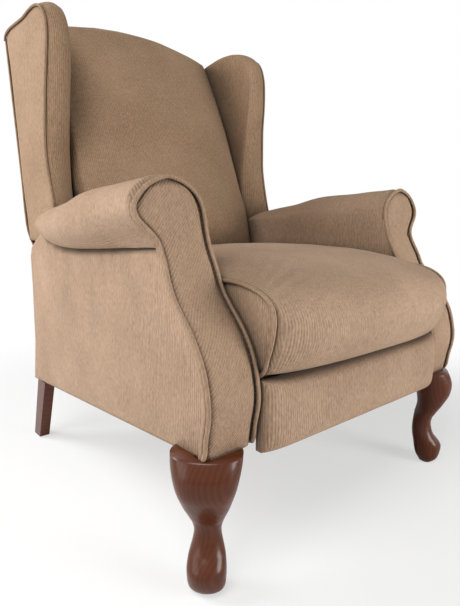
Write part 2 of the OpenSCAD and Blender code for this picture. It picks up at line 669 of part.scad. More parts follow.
// Steel plates on the body, with two cam slots each: one guides the seat,
// the other holds back the drive pin so that the leg-rest links swing
module cam_slot(path, r) {
    n = len(path) - 1;
    sides = [for (i = [0:n])
        left_normal(unit(path[min(n, i + 1)] - path[max(0, i - 1)])) * r];
    polygon(concat([for (i = [0:n]) path[i] + sides[i]], reversed([for (i = [0:n]) path[i] - sides[i]])));
    hole_2d(path[0], r);
    hole_2d(path[n], r);
}
module base_plates() {
    steps = 12;
    low = side_panel_t / 2;
    front_y = rear_link_pivot[0] - 2.2 * drive_arm;
    cam_top = drive_at(1)[1] + 1.6 * pin_head_r;
    cam_rear = glide_pin[0] + 2 * pin_head_r;
    color(steel_colour) both_sides() difference() {
        sheet_at(base_plate_x, plate_t) polygon([
            [front_y, skirt_z(front_y) + low], [rear_post_y[1], skirt_z(rear_post_y[1]) + low],
            [rear_post_y[1], back_pivot[1] + 2 * pin_head_r],
            [rear_post_y[0] + pin_head_r / 2, back_pivot[1] + 2 * pin_head_r],
            [rear_post_y[0], skirt_z(rear_post_y[0]) + 1.6 * mechanism_rail_h],
            [cam_rear + 4 * pin_head_r, skirt_z(cam_rear) + mechanism_rail_h],
            [cam_rear, glide_pin[1] + 2 * pin_head_r], [seat_at(glide_pin, 1)[0] + pin_head_r, cam_top],
            [front_y, cam_top]]);
        sheet_at(base_plate_x - cut_over, plate_t + 2 * cut_over) {
            cam_slot([for (i = [0:steps]) seat_at(glide_pin, i / steps)], back_pin_r + slot_fit);
            cam_slot([for (i = [0:steps]) drive_at(i / steps)], pin_r + slot_fit);
            hole_2d(back_pivot, back_pin_r + pin_fit);
        }
    }
}
tension_pocket_r = 15;
tension_len = 26;
washer_t = 1.2;
washer_gap = 2;
module back_pivot_pins() {
    outer = base_plate_x + plate_t + tension_len;
    color(dark_steel_colour) both_sides() {
        rod_x_at(back_pivot, back_bracket_x - touch_gap, outer, back_pin_r);
        rod_x_at(back_pivot, back_bracket_x - touch_gap - pin_head_t, back_bracket_x - touch_gap,
            back_pin_r + 3 * pin_head_t / 2);
        rod_x_at(back_pivot, back_bracket_x + plate_t + touch_gap, base_plate_x, back_pin_r + pin_head_t);
    }
}
// Conical spring washers, stacked face to face on the outer end of the back pivot
module tension_washers() {
    color(steel_colour) both_sides()
        for (k = [0:3])
            translate([base_plate_x + plate_t + (2 * k + (k % 2)) * washer_t, back_pivot[0], back_pivot[1]])
                rotate([0, 90, 0]) mirror([0, 0, k % 2]) translate([0, 0, -(k % 2) * washer_t])
                    rotate_extrude() polygon([
                        [back_pin_r + pin_fit, washer_t], [tension_pocket_r - washer_gap, 0],
                        [tension_pocket_r - washer_gap, washer_t * 0.8],
                        [back_pin_r + pin_fit, washer_t * 1.8]]);
}
module tension_wing_nuts() {
    x0 = base_plate_x + plate_t + 9.5 * washer_t;
    color(steel_colour) both_sides() difference() {
        union() {
            rod_x_at(back_pivot, x0, x0 + 2 * pin_r, back_pin_r + 2 * pin_head_t);
            for (s = [-1, 1])
                translate([x0 + pin_r, back_pivot[0] - pin_head_t / 2,
                    back_pivot[1] + s * (back_pin_r + pin_head_t) - (s < 0 ? pin_r : 0)])
                    cube([pin_r, pin_head_t, pin_r]);
        }
        rod_x_at(back_pivot, x0 - cut_over, x0 + tension_len, back_pin_r + pin_fit);
    }
}

// The back's wooden frame
post_x = [back_bracket_x - post_t, back_bracket_x];
back_post_shares = [[0, 0.011], [0, 1], [0.37, 1], [1, 0.59], [1, 0.011]];
back_post_share = 0.8973;
back_post_h = (back_top_z - back_foot[1]) / cos(back_rake) * back_post_share;
back_post_d = 38;
module back_posts() {
    color(wood_colour) both_sides() sheet_at(post_x[0], post_x[1] - post_x[0])
        polygon(reversed([for (s = back_post_shares) on_back(s[0] * back_post_d, s[1] * back_post_h)]));
}
top_board_t = 8;
function arch_z(x) = back_top_z - arch_drop * pow(x / (back_w / 2), 2);
module on_back_frame() {
    translate([0, back_foot[0], back_foot[1]]) rotate([-back_rake, 0, 0]) children();
}
module back_top_board() {
    half = post_x[0] - touch_gap;
    low = back_post_h * 0.91;
    rise = back_post_h * 1.02;
    color(wood_colour) placed() on_back_frame() rotate([90, 0, 0]) translate([0, 0, -top_board_t])
        linear_extrude(top_board_t)
            polygon(concat([[-half, low], [half, low]],
                [for (k = [8:-1:-8]) let (x = half * k / 8)
                    [x, rise + (arch_z(x) - arch_z(half)) * 0.8]]));
}
bottom_rail_z = [16, 56];
module back_bottom_rail() {
    half = post_x[0] - touch_gap;
    color(wood_colour) placed() on_back_frame()
        block_at([-half, half], [0, back_post_d], bottom_rail_z);
}
// A flat zigzag spring of bent wire, drawn along +Y from the origin
module zigzag(length) {
    waves = floor(length / spring_pitch);
    step = (length - 3.2 * spring_wire) / waves / 4;
    lead = spring_wire * 1.6;
    turns = [[1, 1], [2, 1], [3, -1], [4, -1]];
    line = concat(
        [[0, 0], [0, lead]],
        [for (i = [0:waves - 1]) for (c = turns)
            [c[1] * spring_half_w, lead + (4 * i + c[0] - 0.5) * step]],
        [[0, length - lead], [0, length]]);
    n = len(line) - 1;
    side = [for (i = [0:n])
        let (a = left_normal(unit(line[max(1, i)] - line[max(0, i - 1)])),
             b = left_normal(unit(line[min(n, i + 1)] - line[min(n - 1, i)])),
             s = unit(a + b))
        s * spring_wire / 2 / max(0.6, s * a)];
    linear_extrude(spring_wire) polygon(concat(
        [for (i = [0:n]) line[i] - side[i]], reversed([for (i = [0:n]) line[i] + side[i]])));
}
spring_places = [-0.68, -0.34, 0, 0.34, 0.68];
module back_springs() {
    y0 = bottom_rail_z[1] + touch_gap;
    length = back_post_h * 0.91 - y0 - touch_gap;
    color(dark_steel_colour) placed() on_back_frame()
        for (s = spring_places)
            translate([s * post_x[0], spring_wire + touch_gap, y0]) rotate([90, 0, 0]) zigzag(length);
}

// Inside back beside the wings, bottom to top: share of the back's height, then how far the cloth
// stands ahead of the frame, as a share of the padding's full thickness
back_pad_shares = [
    [0.001, 0.361], [0.06, 0.588], [0.126, 0.782], [0.1875, 0.925], [0.243, 0.995], [0.327, 0.986],
    [0.424, 0.855], [0.553, 0.793], [0.678, 0.698], [0.814, 0.517], [0.898, 0.324], [0.943, 0.225]
];
back_line = [for (s = back_pad_shares)
    let (z = back_foot[1] + s[0] * (back_top_z - back_foot[1]))
    [back_front_y(z) - s[1] * back_pad_t, z]];
back_edge_r = 14;
crest_run = 14;
crest_t = 8;
module back_cushion() {
    count = 11;
    line = smooth(back_line, 2);
    n = len(line) - 1;
    arm_half = min(seat_half - 2 * slide_gap - roll_puff, back_w / 2);
    function half_at(z) =
        min(z < scroll_z ? arm_half : min(back_w / 2, arm_half + (z - scroll_z) / 4),
            z > back_top_z - arch_drop
                ? back_w / 2 * sqrt(max(0.02, (back_top_z - z) / arch_drop)) : back_w);
    function ring(y0, y1, z, w) =
        let (swell = back_swell * min(1, max(0, z - cushion_z - cushion_t * 0.75) / arm_w)
                * min(1, w / back_w * 2))
        concat(
            [for (k = [0:count]) let (c = 2 * k / count - 1)
                [w * c, y0 - swell * (1 - c * c) + (abs(c) > 0.99 ? back_edge_r : 0), z]],
            [[w, (y0 + y1) / 2 + back_edge_r / 2, z], [w * 0.97, y1, z], [0, y1, z], [-w * 0.97, y1, z],
             [-w, (y0 + y1) / 2 + back_edge_r / 2, z]]);
    body = [for (i = [0:n]) let (p = line[i], y1 = back_front_y(p[1]) - touch_gap)
        ring(p[0], max(y1, p[0] + 1.8 * back_edge_r), p[1], half_at(p[1]))];
    last = back_line[len(back_line) - 1];
    crest = [for (k = [1:5]) let (z = last[1] + (back_top_z - last[1]) * k / 5,
        y = last[0] + crest_run * k / 5)
        ring(y, max(back_front_y(z) - touch_gap, y + crest_t), z, half_at(z))];
    color(fabric_colour) placed() difference() {
        skin(concat(body, crest));
        on_back_frame() block_at([-body_half, body_half], [-touch_gap, back_reach], [0, back_top_z]);
    }
}

// Wings: a board between an inner pad and an outer padded side
function wing_edge(t) = smooth([for (i = [0:len(wing_inner_shares) - 1])
    let (s = wing_inner_shares[i] + (wing_outer_shares[i] - wing_inner_shares[i]) * t)
    [wing_foot_y + s[0] * wing_depth, wing_foot_z + s[1] * (wing_top_z - wing_foot_z)]], 2);
// How many points of a wing's edge lie ahead of a limit, on both of its edges
function wing_count(y_max) = min(
    len([for (p = wing_edge(0)) if (p[0] < y_max) p]), len([for (p = wing_edge(1)) if (p[0] < y_max) p]));
// Padding over a wing's side view. Each level: place outward, share of the way from the inner to
// the outer front edge, and how far the outline is drawn in
module wing_slab(x0, levels, top, low, foot) {
    n = wing_count(top[0] - back_edge_r);
    skin([for (l = levels)
        let (edge = wing_edge(l[1]))
        [for (p = inset(concat([top], [for (i = [n - 1:-1:0]) edge[i]], foot, [low]), l[2]))
            [x0 + l[0], p[0], p[1]]]]);
}
wing_pad_r = 12;
wing_pad_drop = 26;
wing_crest_in = 14;
module wing_pad(side) {
    low_z = wing_foot_z - wing_pad_drop;
    low = [back_front_y(low_z) - touch_gap, low_z];
    top = [back_front_y(wing_top_z - wing_crest_in) - touch_gap, wing_top_z - wing_crest_in];
    color(fabric_colour) sided(side)
        wing_slab(wing_gap / 2,
            [[0, 0, wing_pad_r], [0.13 * wing_pad_r, 0, 0.5 * wing_pad_r],
             [0.5 * wing_pad_r, 0, 0.13 * wing_pad_r],
             [wing_pad_r, 0, 0], [wing_t * wing_pad_share, 0.32, 0]],
            top, low, []);
}
wing_stuffing = 14;
wing_board_in = [24, 47];
module wing_boards() {
    low_z = outside_foot[1] + wing_board_in[0];
    top_z = wing_top_z - wing_board_in[1];
    low = [outside_inner_y(low_z) - touch_gap, low_z];
    top = [outside_inner_y(top_z) - touch_gap, top_z];
    line = [for (p = wing_edge(0.45)) if (p[0] < wing_foot_y + wing_depth * 0.62)
        p + wing_stuffing * [1, -0.85]];
    color(wood_colour) both_sides() sheet_at(wing_board_x, wing_board_t)
        polygon(concat([top], reversed(line), [line[0] - [0, wing_stuffing * 0.85]], [low]));
}
outer_wing_drop = 51;
outer_wing_foot = 71;
outer_wing_r = 5;
module outer_wing(side) {
    x0 = wing_board_x + wing_board_t + touch_gap;
    t = wing_span / 2 - x0;
    top_z = wing_top_z - outer_wing_drop;
    low = [outside_inner_y(outside_foot[1]) - touch_gap, outside_foot[1]];
    top = [outside_inner_y(top_z) - touch_gap, top_z];
    color(fabric_colour) sided(side)
        wing_slab(x0, [[0, 0.54, 0], [0.77 * t, 0.95, 0], [t - 0.5 * outer_wing_r, 1, 0.3 * outer_wing_r],
            [t, 1, outer_wing_r]], top, low, [[outside_foot[0] - outer_wing_foot, outside_foot[1]]]);
}
cleat_shares = [0.38, 0.84];
module wing_cleats() {
    color(wood_colour) both_sides()
        for (h = cleat_shares)
            translate([0, back_foot[0], back_foot[1]]) rotate([-back_rake, 0, 0])
                block_at([post_x[1] + touch_gap, wing_board_x - touch_gap], [0, back_post_d * 0.34],
                    [h * back_post_h, h * back_post_h + post_w]);
}
module outside_back_panel() {
    half = wing_span / 2;
    length = (back_top_z - outside_bottom_z) / cos(outside_rake);
    color(fabric_colour) placed()
        translate([0, outside_y(outside_bottom_z), outside_bottom_z]) rotate([90 - outside_rake, 0, 0])
            linear_extrude(outside_t)
                polygon(concat([[-half * 0.9, 0], [half * 0.9, 0], [half, length * 0.17]],
                    [for (k = [10:-1:-10]) let (x = half * k / 10)
                        [x, length - (back_top_z - arch_z(x)) * 0.91]],
                    [[-half, length * 0.17]]));
}
panel_cleat_reach = [12, 44];
panel_cleat_w = 22;
module panel_cleats() {
    z = [for (r = panel_cleat_reach) outside_bottom_z + r];
    function post_rear_y(z) = back_front_y(z) + back_post_d / cos(back_rake) + touch_gap;
    color(wood_colour) both_sides() sheet_at(post_x[0], panel_cleat_w)
        polygon([[post_rear_y(z[0]), z[0]], [outside_inner_y(z[0]) - touch_gap, z[0]],
            [outside_inner_y(z[1]) - touch_gap, z[1]], [post_rear_y(z[1]), z[1]]]);
}
// Steel brackets that hang the back on the body and reach down to push the seat
bracket_in = 4;
bracket_len = 160;
module back_brackets() {
    color(steel_colour) both_sides() difference() {
        sheet_at(back_bracket_x, plate_t) {
            polygon([on_back(bracket_in, bottom_rail_z[1]), on_back(bracket_in, bracket_len),
                back_pivot + [0, 2 * pin_head_r],
                back_pivot + [pin_head_r * 1.6, 0], seat_pivot + [pin_head_r * 1.6, 0],
                seat_pivot + [-pin_head_r * 1.6, 0]]);
            hole_2d(back_pivot, pin_head_r * 2);
            hole_2d(seat_pivot, pin_head_r * 1.6);
        }
        rod_x_at(back_pivot, back_bracket_x - cut_over, link_x + cut_over, back_pin_r + pin_fit);
        rod_x_at(seat_pivot, back_bracket_x - cut_over, link_x + cut_over, pin_r + pin_fit);
    }
}
// A shouldered pin: held in the plate from p0 to p1, running in the plate from q0 to q1
module pin_between(p, p0, p1, q0, q1) {
    out = q0 > p1;
    gap = touch_gap;
    shaft = out ? [p0, q1 + gap] : [q0 - gap, p1];
    rod_x_at(p, shaft[0], shaft[1], pin_r);
    rod_x_at(p, out ? p0 - pin_head_t : p1, out ? p0 : p1 + pin_head_t, pin_head_r);
    rod_x_at(p, out ? q1 + gap : q0 - gap - pin_head_t, out ? q1 + gap + pin_head_t : q0 - gap, pin_head_r);
    if (out ? q0 - gap > p1 : p0 > q1 + gap)
        rod_x_at(p, out ? p1 : q1 + gap, out ? q0 - gap : p0, pin_r + pin_head_t);
}
module seat_pivot_pins() {
    color(dark_steel_colour) both_sides() {
        rod_x_at(seat_pivot, seat_plate_x - touch_gap, back_bracket_x + plate_t, pin_r);
        rod_x_at(seat_pivot, seat_plate_x - touch_gap - pin_head_t, seat_plate_x - touch_gap, pin_head_r);
        rod_x_at(seat_pivot, back_bracket_x + plate_t, back_bracket_x + plate_t + pin_head_t, pin_head_r);
    }
}

// Seat frame
seat_deck_room = 8;
seat_plate_h = 60;
seat_plate_z = [cushion_z - seat_deck_room - seat_plate_h, cushion_z - seat_deck_room];
front_rail_in = 22;
rear_rail_in = 5;
front_rail_y = [front_rail_in, front_rail_in + seat_rail_t];
rear_rail_y = [back_foot[0] - rear_rail_in, back_foot[0] - rear_rail_in + seat_rail_t];
lightening_holes = 4;
lightening_pitch = (seat_pivot[0] - glide_pin[0]) / (lightening_holes + 1.76);
seat_rail_top = seat_plate_z[1] - slide_gap;
module seat_side_plates() {
    y0 = board_pivot[0] + control_arm / 4;
    color(steel_colour) both_sides() difference() {
        sheet_at(seat_plate_x, plate_t) difference() {
            union() {
                polygon([[y0, seat_plate_z[1] - pin_head_r], [y0 + pin_head_r, seat_plate_z[1]],
                    [seat_pivot[0] - link_w, seat_plate_z[1]], [seat_pivot[0], seat_plate_z[1]],
                    [seat_pivot[0], seat_plate_z[1] - link_w],
                    [seat_pivot[0] - 4 * link_w, seat_plate_z[0] + link_w / 2],
                    [glide_pin[0] + link_w, seat_plate_z[0]], [rear_link_pivot[0] - link_w, seat_plate_z[0]],
                    [front_link_pivot[0], seat_plate_z[0] + link_w]]);
                hole_2d(seat_pivot, link_w / 2 + pin_head_t);
                hole_2d(front_link_pivot, link_w / 2 + pin_head_t);
            }
            for (k = [0:lightening_holes - 1])
                let (at = glide_pin + [(k + 0.7) * lightening_pitch, link_w])
                    polygon(strap([at, at + [lightening_pitch / 3, 0]], link_w / 2));
        }
        rod_x_at(seat_pivot, seat_plate_x - cut_over, link_x, pin_r + pin_fit);
        rod_x_at(front_link_pivot, seat_plate_x - cut_over, link_x, pin_r + pin_fit / 2);
        rod_x_at(rear_link_pivot, seat_plate_x - cut_over, link_x, tube_r + pin_fit);
        rod_x_at(glide_pin, seat_plate_x - cut_over, link_x, pin_r + pin_fit / 2);
    }
}
module seat_cross_rails() {
    color(wood_colour) placed() {
        block_at([-seat_plate_x, seat_plate_x], front_rail_y,
            [seat_rail_top - seat_rail_h * 0.6, seat_rail_top]);
        block_at([-seat_plate_x, seat_plate_x], rear_rail_y, [seat_rail_top - seat_rail_h, seat_rail_top]);
    }
}
module seat_side_rails() {
    color(wood_colour) both_sides()
        block_at([seat_plate_x - seat_rail_t, seat_plate_x],
            [front_rail_y[1] + 2.4 * link_w, rear_rail_y[0] - touch_gap],
            [seat_rail_top - seat_rail_h, seat_rail_top]);
}
module seat_springs() {
    length = rear_rail_y[1] - front_rail_y[0] - 2 * side_panel_t;
    color(dark_steel_colour) placed()
        for (s = spring_places)
            translate([s * (seat_plate_x - seat_rail_t), front_rail_y[0] + side_panel_t, seat_rail_top])
                zigzag(length);
}
clip_w = 14;
module spring_clips() {
    clip_h = spring_wire - touch_gap;
    color(steel_colour) placed()
        for (s = spring_places)
            for (y = [front_rail_y[0] + touch_gap, rear_rail_y[1] - side_panel_t + 1.4 * touch_gap])
                translate([s * (seat_plate_x - seat_rail_t) - clip_w / 2, y, seat_rail_top])
                    cube([clip_w, side_panel_t - 2 * touch_gap - slide_gap, clip_h]);
}
module seat_deck() {
    half = seat_plate_x - side_panel_t;
    z0 = seat_rail_top + spring_wire + touch_gap;
    color(felt_colour) placed() block_at([-half, half], [front_rail_y[0], rear_rail_y[1]], [z0, z0 + deck_t]);
}
// Side view of the seat cushion: shares of its length behind the nose and of its height.
// The first list is its middle, the second its ends, point for point
cushion_mid_shares = [
    [0.99, 0.0], [1, 0.05], [1, 0.5], [1, 0.8], [0.97, 0.9], [0.75, 0.965], [0.5, 1], [0.32, 0.985],
    [0.19, 0.915], [0.1, 0.8], [0.03, 0.63], [0, 0.45], [0.003, 0.29], [0.025, 0.14],
    [0.075, 0.035], [0.14, 0.0], [0.5, 0]
];
cushion_end_shares = [
    [0.985, 0.03], [0.995, 0.07], [0.99, 0.45], [0.99, 0.76], [0.955, 0.84], [0.75, 0.86], [0.5, 0.845],
    [0.3, 0.79], [0.2, 0.765], [0.14, 0.72], [0.095, 0.62], [0.078, 0.5], [0.08, 0.36],
    [0.095, 0.2], [0.115, 0.06], [0.16, 0.02], [0.5, 0.02]
];
cushion_edge_r = 9;
module seat_cushion() {
    half = cushion_w / 2;
    edge_r = cushion_edge_r;
    function at(s) = [s[0] * cushion_l - nose_reach, cushion_z + s[1] * cushion_t];
    mid = [for (s = cushion_mid_shares) at(s)];
    end = [for (s = cushion_end_shares) at(s)];
    function crown(c) = 1 - pow(abs(c), 2.6);
    stations = [for (k = [-7:7]) k / 7];
    rings = [for (c = stations)
        let (k = crown(c),
             base = smooth_ring([for (i = [0:len(mid) - 1]) end[i] + (mid[i] - end[i]) * k], 2))
        [for (p = base) [(half - edge_r) * c, p[0], max(p[1], cushion_z)]]];
    function cap(r, d, x) = [for (p = inset([for (q = r) [q[1], q[2]]], d)) [x, p[0], p[1]]];
    first = rings[0];
    last = rings[len(rings) - 1];
    color(fabric_colour) placed()
        skin(concat(
            [cap(first, edge_r, -half), cap(first, edge_r * 0.3, -half + edge_r * 0.3)], rings,
            [cap(last, edge_r * 0.3, half - edge_r * 0.3), cap(last, edge_r, half)]));
}
// Pins on the seat plates: the front links' pivots, and the studs that ride in the base plates
module seat_pins() {
    stud_r = back_pin_r;
    color(dark_steel_colour) both_sides() {
        pin_between(front_link_pivot, seat_plate_x, seat_plate_x + plate_t, link_x, link_x + link_t);
        rod_x_at(glide_pin, seat_plate_x, base_plate_x + plate_t + pin_head_t / 2, pin_r);
        rod_x_at(glide_pin, seat_plate_x - pin_head_t, seat_plate_x, pin_head_r);
        rod_x_at(glide_pin, seat_plate_x + plate_t, base_plate_x - touch_gap, pin_head_r);
        rod_x_at(glide_pin, base_plate_x - touch_gap, base_plate_x + plate_t + pin_head_t / 2, stud_r);
    }
}

// Leg-rest linkage. The rear links run on a tube through both seat plates
tube_r = 8;
tube_wall = 2;
tube_end = 1;
module link_plate(x0, points, bores, w = link_w) {
    difference() {
        sheet_at(x0, link_t) polygon(strap(points, w));
        for (b = bores) rod_x_at(b[0], x0 - cut_over, x0 + link_t + cut_over, b[1]);
    }
}
module rear_links() {
    color(steel_colour) both_sides() {
        link_plate(link_x, [carrier_rear, drive_pin],
            [[carrier_rear, pin_r + pin_fit], [rear_link_pivot, tube_r], [drive_pin, pin_r]]);
        rod_x_at(drive_pin, link_x, base_plate_x + plate_t + pin_head_t / 2, pin_r);
    }
}
module drive_tube() {
    inner_r = tube_r - tube_wall;
    end_x = link_x + link_t + tube_end;
    color(dark_steel_colour) placed() difference() {
        rod_x_at(rear_link_pivot, -end_x, end_x, tube_r);
        rod_x_at(rear_link_pivot, -end_x - cut_over, end_x + cut_over, inner_r);
    }
}
module front_links() {
    color(steel_colour) both_sides() {
        difference() {
            sheet_at(link_x, link_t)
                polygon(rounded_plate([front_link_pivot, carrier_front, rod_rear], link_w / 2));
            rod_x_at(front_link_pivot, link_x - cut_over, link_x + link_t + cut_over, pin_r + pin_fit);
        }
        pin_between(carrier_front, link_x, link_x + link_t, carrier_x, carrier_x + link_t);
        pin_between(rod_rear, link_x, link_x + link_t, rod_x, rod_x + link_t);
    }
}
module carrier_links() {
    color(steel_colour) both_sides() {
        link_plate(carrier_x, [carrier_rear, carrier_front, board_pivot], [[carrier_front, pin_r + pin_fit]]);
        pin_between(carrier_rear, carrier_x, carrier_x + link_t, link_x, link_x + link_t);
        pin_between(board_pivot, carrier_x, carrier_x + link_t,
            footrest_bracket_x, footrest_bracket_x + link_t);
    }
}
module control_rods() {
    color(steel_colour) both_sides()
        link_plate(rod_x, [rod_rear, rod_front],
            [[rod_rear, pin_r + pin_fit], [rod_front, pin_r + pin_fit]], rod_w);
}

// Leg-rest board, its padding, and the angle brackets that the links hold
flange_w = 26;
module footrest_brackets() {
    low = board_pivot[1] - link_w;
    high = rod_front[1] + link_w / 2;
    color(steel_colour) both_sides() {
        difference() {
            sheet_at(footrest_bracket_x, link_t) {
                polygon([[board_rear_y, low], board_pivot + [0, -link_w / 2], board_pivot,
                    rod_front + [rod_w / 2, 0], rod_front + [0, rod_w / 2], [board_rear_y, high]]);
                hole_2d(board_pivot, link_w / 2);
            }
            rod_x_at(board_pivot, footrest_bracket_x - cut_over, carrier_x, pin_r + pin_fit);
        }
        block_at([footrest_bracket_x - flange_w, footrest_bracket_x], [board_rear_y, board_rear_y + link_t],
            [low, high]);
        pin_between(rod_front, footrest_bracket_x, footrest_bracket_x + link_t, rod_x, rod_x + link_t);
    }
}
module footrest_board() {
    color(wood_colour) placed()
        block_at([-board_w / 2 + roll_puff, board_w / 2 - roll_puff],
            [board_rear_y - board_t, board_rear_y],
            [board_bottom_z + roll_puff, board_bottom_z + board_h - roll_puff]);
}
pad_corner_r = 12;
// How the padding of the leg rest rounds over: shares of its thickness and of its corner radius
pad_round_shares = [[0, 0.08], [0.2, 0], [0.62, 0.035], [0.88, 0.3], [1, 0.85]];
module footrest_pad() {
    half = board_w / 2;
    corner = pad_corner_r;
    outline = [for (c = [[1, 1, 0], [-1, 1, 90], [-1, -1, 180], [1, -1, 270]])
        for (a = [0:30:90])
            [c[0] * (half - corner) + corner * cos(c[2] + a),
             board_bottom_z + board_h / 2 + c[1] * (board_h / 2 - corner) + corner * sin(c[2] + a)]];
    color(fabric_colour) placed()
        skin([for (l = pad_round_shares)
            [for (p = inset(outline, l[1] * corner))
                [p[0], board_rear_y - board_t - touch_gap - l[0] * board_pad_t, p[1]]]]);
}

outer_side_panel(1);  // left_outer_side_panel
outer_side_panel(-1);  // right_outer_side_panel
inner_arm_panel(1);  // left_inner_arm_panel
inner_arm_panel(-1);  // right_inner_arm_panel
arm_roll(1);  // left_arm_roll
arm_roll(-1);  // right_arm_roll
arm_front(1);  // left_arm_front
arm_front(-1);  // right_arm_front
arm_boards();
front_posts();
rear_posts();
bottom_side_rails();
mechanism_rails();
pivot_blocks();
middle_cross_rail();
rear_cross_rail();
corner_blocks();
rear_lower_panel();
front_leg(1);  // left_front_leg
front_leg(-1);  // right_front_leg
rear_leg(1);  // left_rear_leg
rear_leg(-1);  // right_rear_leg
leg_bolts();
floor_glides();
base_plates();
back_pivot_pins();
tension_washers();
tension_wing_nuts();
back_posts();
back_top_board();
back_bottom_rail();
back_springs();
back_cushion();
wing_pad(1);  // left_wing_pad
wing_pad(-1);  // right_wing_pad
outer_wing(1);  // left_outer_wing
outer_wing(-1);  // right_outer_wing
wing_boards();
wing_cleats();
outside_back_panel();
panel_cleats();
back_brackets();
seat_pivot_pins();
seat_side_plates();
seat_cross_rails();
seat_side_rails();
seat_springs();
spring_clips();
seat_deck();
seat_cushion();
seat_pins();
rear_links();
drive_tube();
front_links();
carrier_links();
control_rods();
footrest_brackets();
footrest_board();
footrest_pad();
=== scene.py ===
import math
import bpy
import bmesh
from mathutils import Matrix, Vector, noise


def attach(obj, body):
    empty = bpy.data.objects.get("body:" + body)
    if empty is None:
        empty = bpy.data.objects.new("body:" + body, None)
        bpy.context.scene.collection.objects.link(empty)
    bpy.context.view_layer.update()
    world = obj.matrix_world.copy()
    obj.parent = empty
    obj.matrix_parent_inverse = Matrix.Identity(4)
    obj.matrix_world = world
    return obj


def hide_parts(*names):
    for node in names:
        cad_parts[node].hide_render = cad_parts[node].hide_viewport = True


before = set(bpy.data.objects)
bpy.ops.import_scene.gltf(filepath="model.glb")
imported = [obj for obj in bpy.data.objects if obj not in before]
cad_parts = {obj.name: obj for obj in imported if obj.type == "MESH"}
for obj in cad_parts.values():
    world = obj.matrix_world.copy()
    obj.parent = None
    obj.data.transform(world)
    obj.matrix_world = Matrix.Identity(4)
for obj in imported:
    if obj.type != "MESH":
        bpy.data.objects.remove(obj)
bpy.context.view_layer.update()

# Studio. The chair stands on a plain white floor that runs into a white surround. The strongest
# soft lamp stands behind its right shoulder, with a high one, a low one beside the arm and a low one
# in front. The camera stands near the right front corner, a little above the arms.
camera_spot = (-0.77906, -0.93805, 0.6008)
lens_mm, film_mm = 29.61, 36
yaw = math.radians(40.05)
pitch = math.radians(10.02)
roll = math.radians(0.13)
ahead = Vector((math.sin(yaw) * math.cos(pitch), math.cos(yaw) * math.cos(pitch), -math.sin(pitch)))
level = Vector((math.cos(yaw), -math.sin(yaw), 0))
upright = level.cross(ahead)
camera_right = level * math.cos(roll) + upright * math.sin(roll)
camera_up = upright * math.cos(roll) - level * math.sin(roll)
camera = bpy.data.objects.new("camera", bpy.data.cameras.new("camera"))
camera.matrix_world = Matrix.Translation(camera_spot) @ Matrix((
    (camera_right.x, camera_up.x, -ahead.x),
    (camera_right.y, camera_up.y, -ahead.y),
    (camera_right.z, camera_up.z, -ahead.z))).to_4x4()
camera.data.sensor_width = film_mm
camera.data.lens = lens_mm
camera.data.clip_start = 0.02
bpy.context.scene.collection.objects.link(camera)
bpy.context.scene.camera = camera
bpy.context.scene.view_settings.view_transform = "Standard"


def set_sockets(node, **values):
    """Sets sockets by name, with an underscore for each space, and hands the node back."""
    for socket, value in values.items():
        node.inputs[socket.replace("_", " ")].default_value = value
    return node


def new_node(nodes, kind, **values):
    return set_sockets(nodes.new(kind), **values)


def math_node(nodes, links, operation, *values, clamp=False):
    """The output of one maths node, fed by numbers or by other nodes' outputs."""
    node = nodes.new("ShaderNodeMath")
    node.operation = operation
    node.use_clamp = clamp
    for index, value in enumerate(values):
        if isinstance(value, (int, float)):
            node.inputs[index].default_value = value
        else:
            links.new(value, node.inputs[index])
    return node.outputs["Value"]


floor_half = 9
floor_corners = [(x * floor_half, y * floor_half, 0) for x, y in ((-1, -1), (1, -1), (1, 1), (-1, 1))]
floor_mesh = bpy.data.meshes.new("studio_floor")
floor_mesh.from_pydata(floor_corners, [], [(0, 1, 2, 3)])
studio_floor = bpy.data.objects.new("studio_floor", floor_mesh)
bpy.context.scene.collection.objects.link(studio_floor)
floor_paint = bpy.data.materials.new("white floor")
floor_paint.use_nodes = True
nodes, links = floor_paint.node_tree.nodes, floor_paint.node_tree.links
matt = set_sockets(nodes["Principled BSDF"], Base_Color=(0.93, 0.935, 0.94, 1), Roughness=0.9,
                   Specular_IOR_Level=0.1)
white = new_node(nodes, "ShaderNodeEmission", Strength=1.0)
place = nodes.new("ShaderNodeTexCoord")
reach = nodes.new("ShaderNodeVectorMath")
reach.operation = "LENGTH"
far = new_node(nodes, "ShaderNodeMapRange", From_Min=0.7, From_Max=1.5, To_Min=0.56)
far.interpolation_type = "SMOOTHSTEP"
seen = nodes.new("ShaderNodeLightPath")
blend_white = nodes.new("ShaderNodeMixShader")
links.new(place.outputs["Object"], reach.inputs[0])
links.new(reach.outputs["Value"], far.inputs["Value"])
links.new(math_node(nodes, links, "MULTIPLY", far.outputs["Result"], seen.outputs["Is Camera Ray"]),
          blend_white.inputs["Fac"])
links.new(matt.outputs["BSDF"], blend_white.inputs[1])
links.new(white.outputs["Emission"], blend_white.inputs[2])
links.new(blend_white.outputs["Shader"], nodes["Material Output"].inputs["Surface"])
floor_mesh.materials.append(floor_paint)

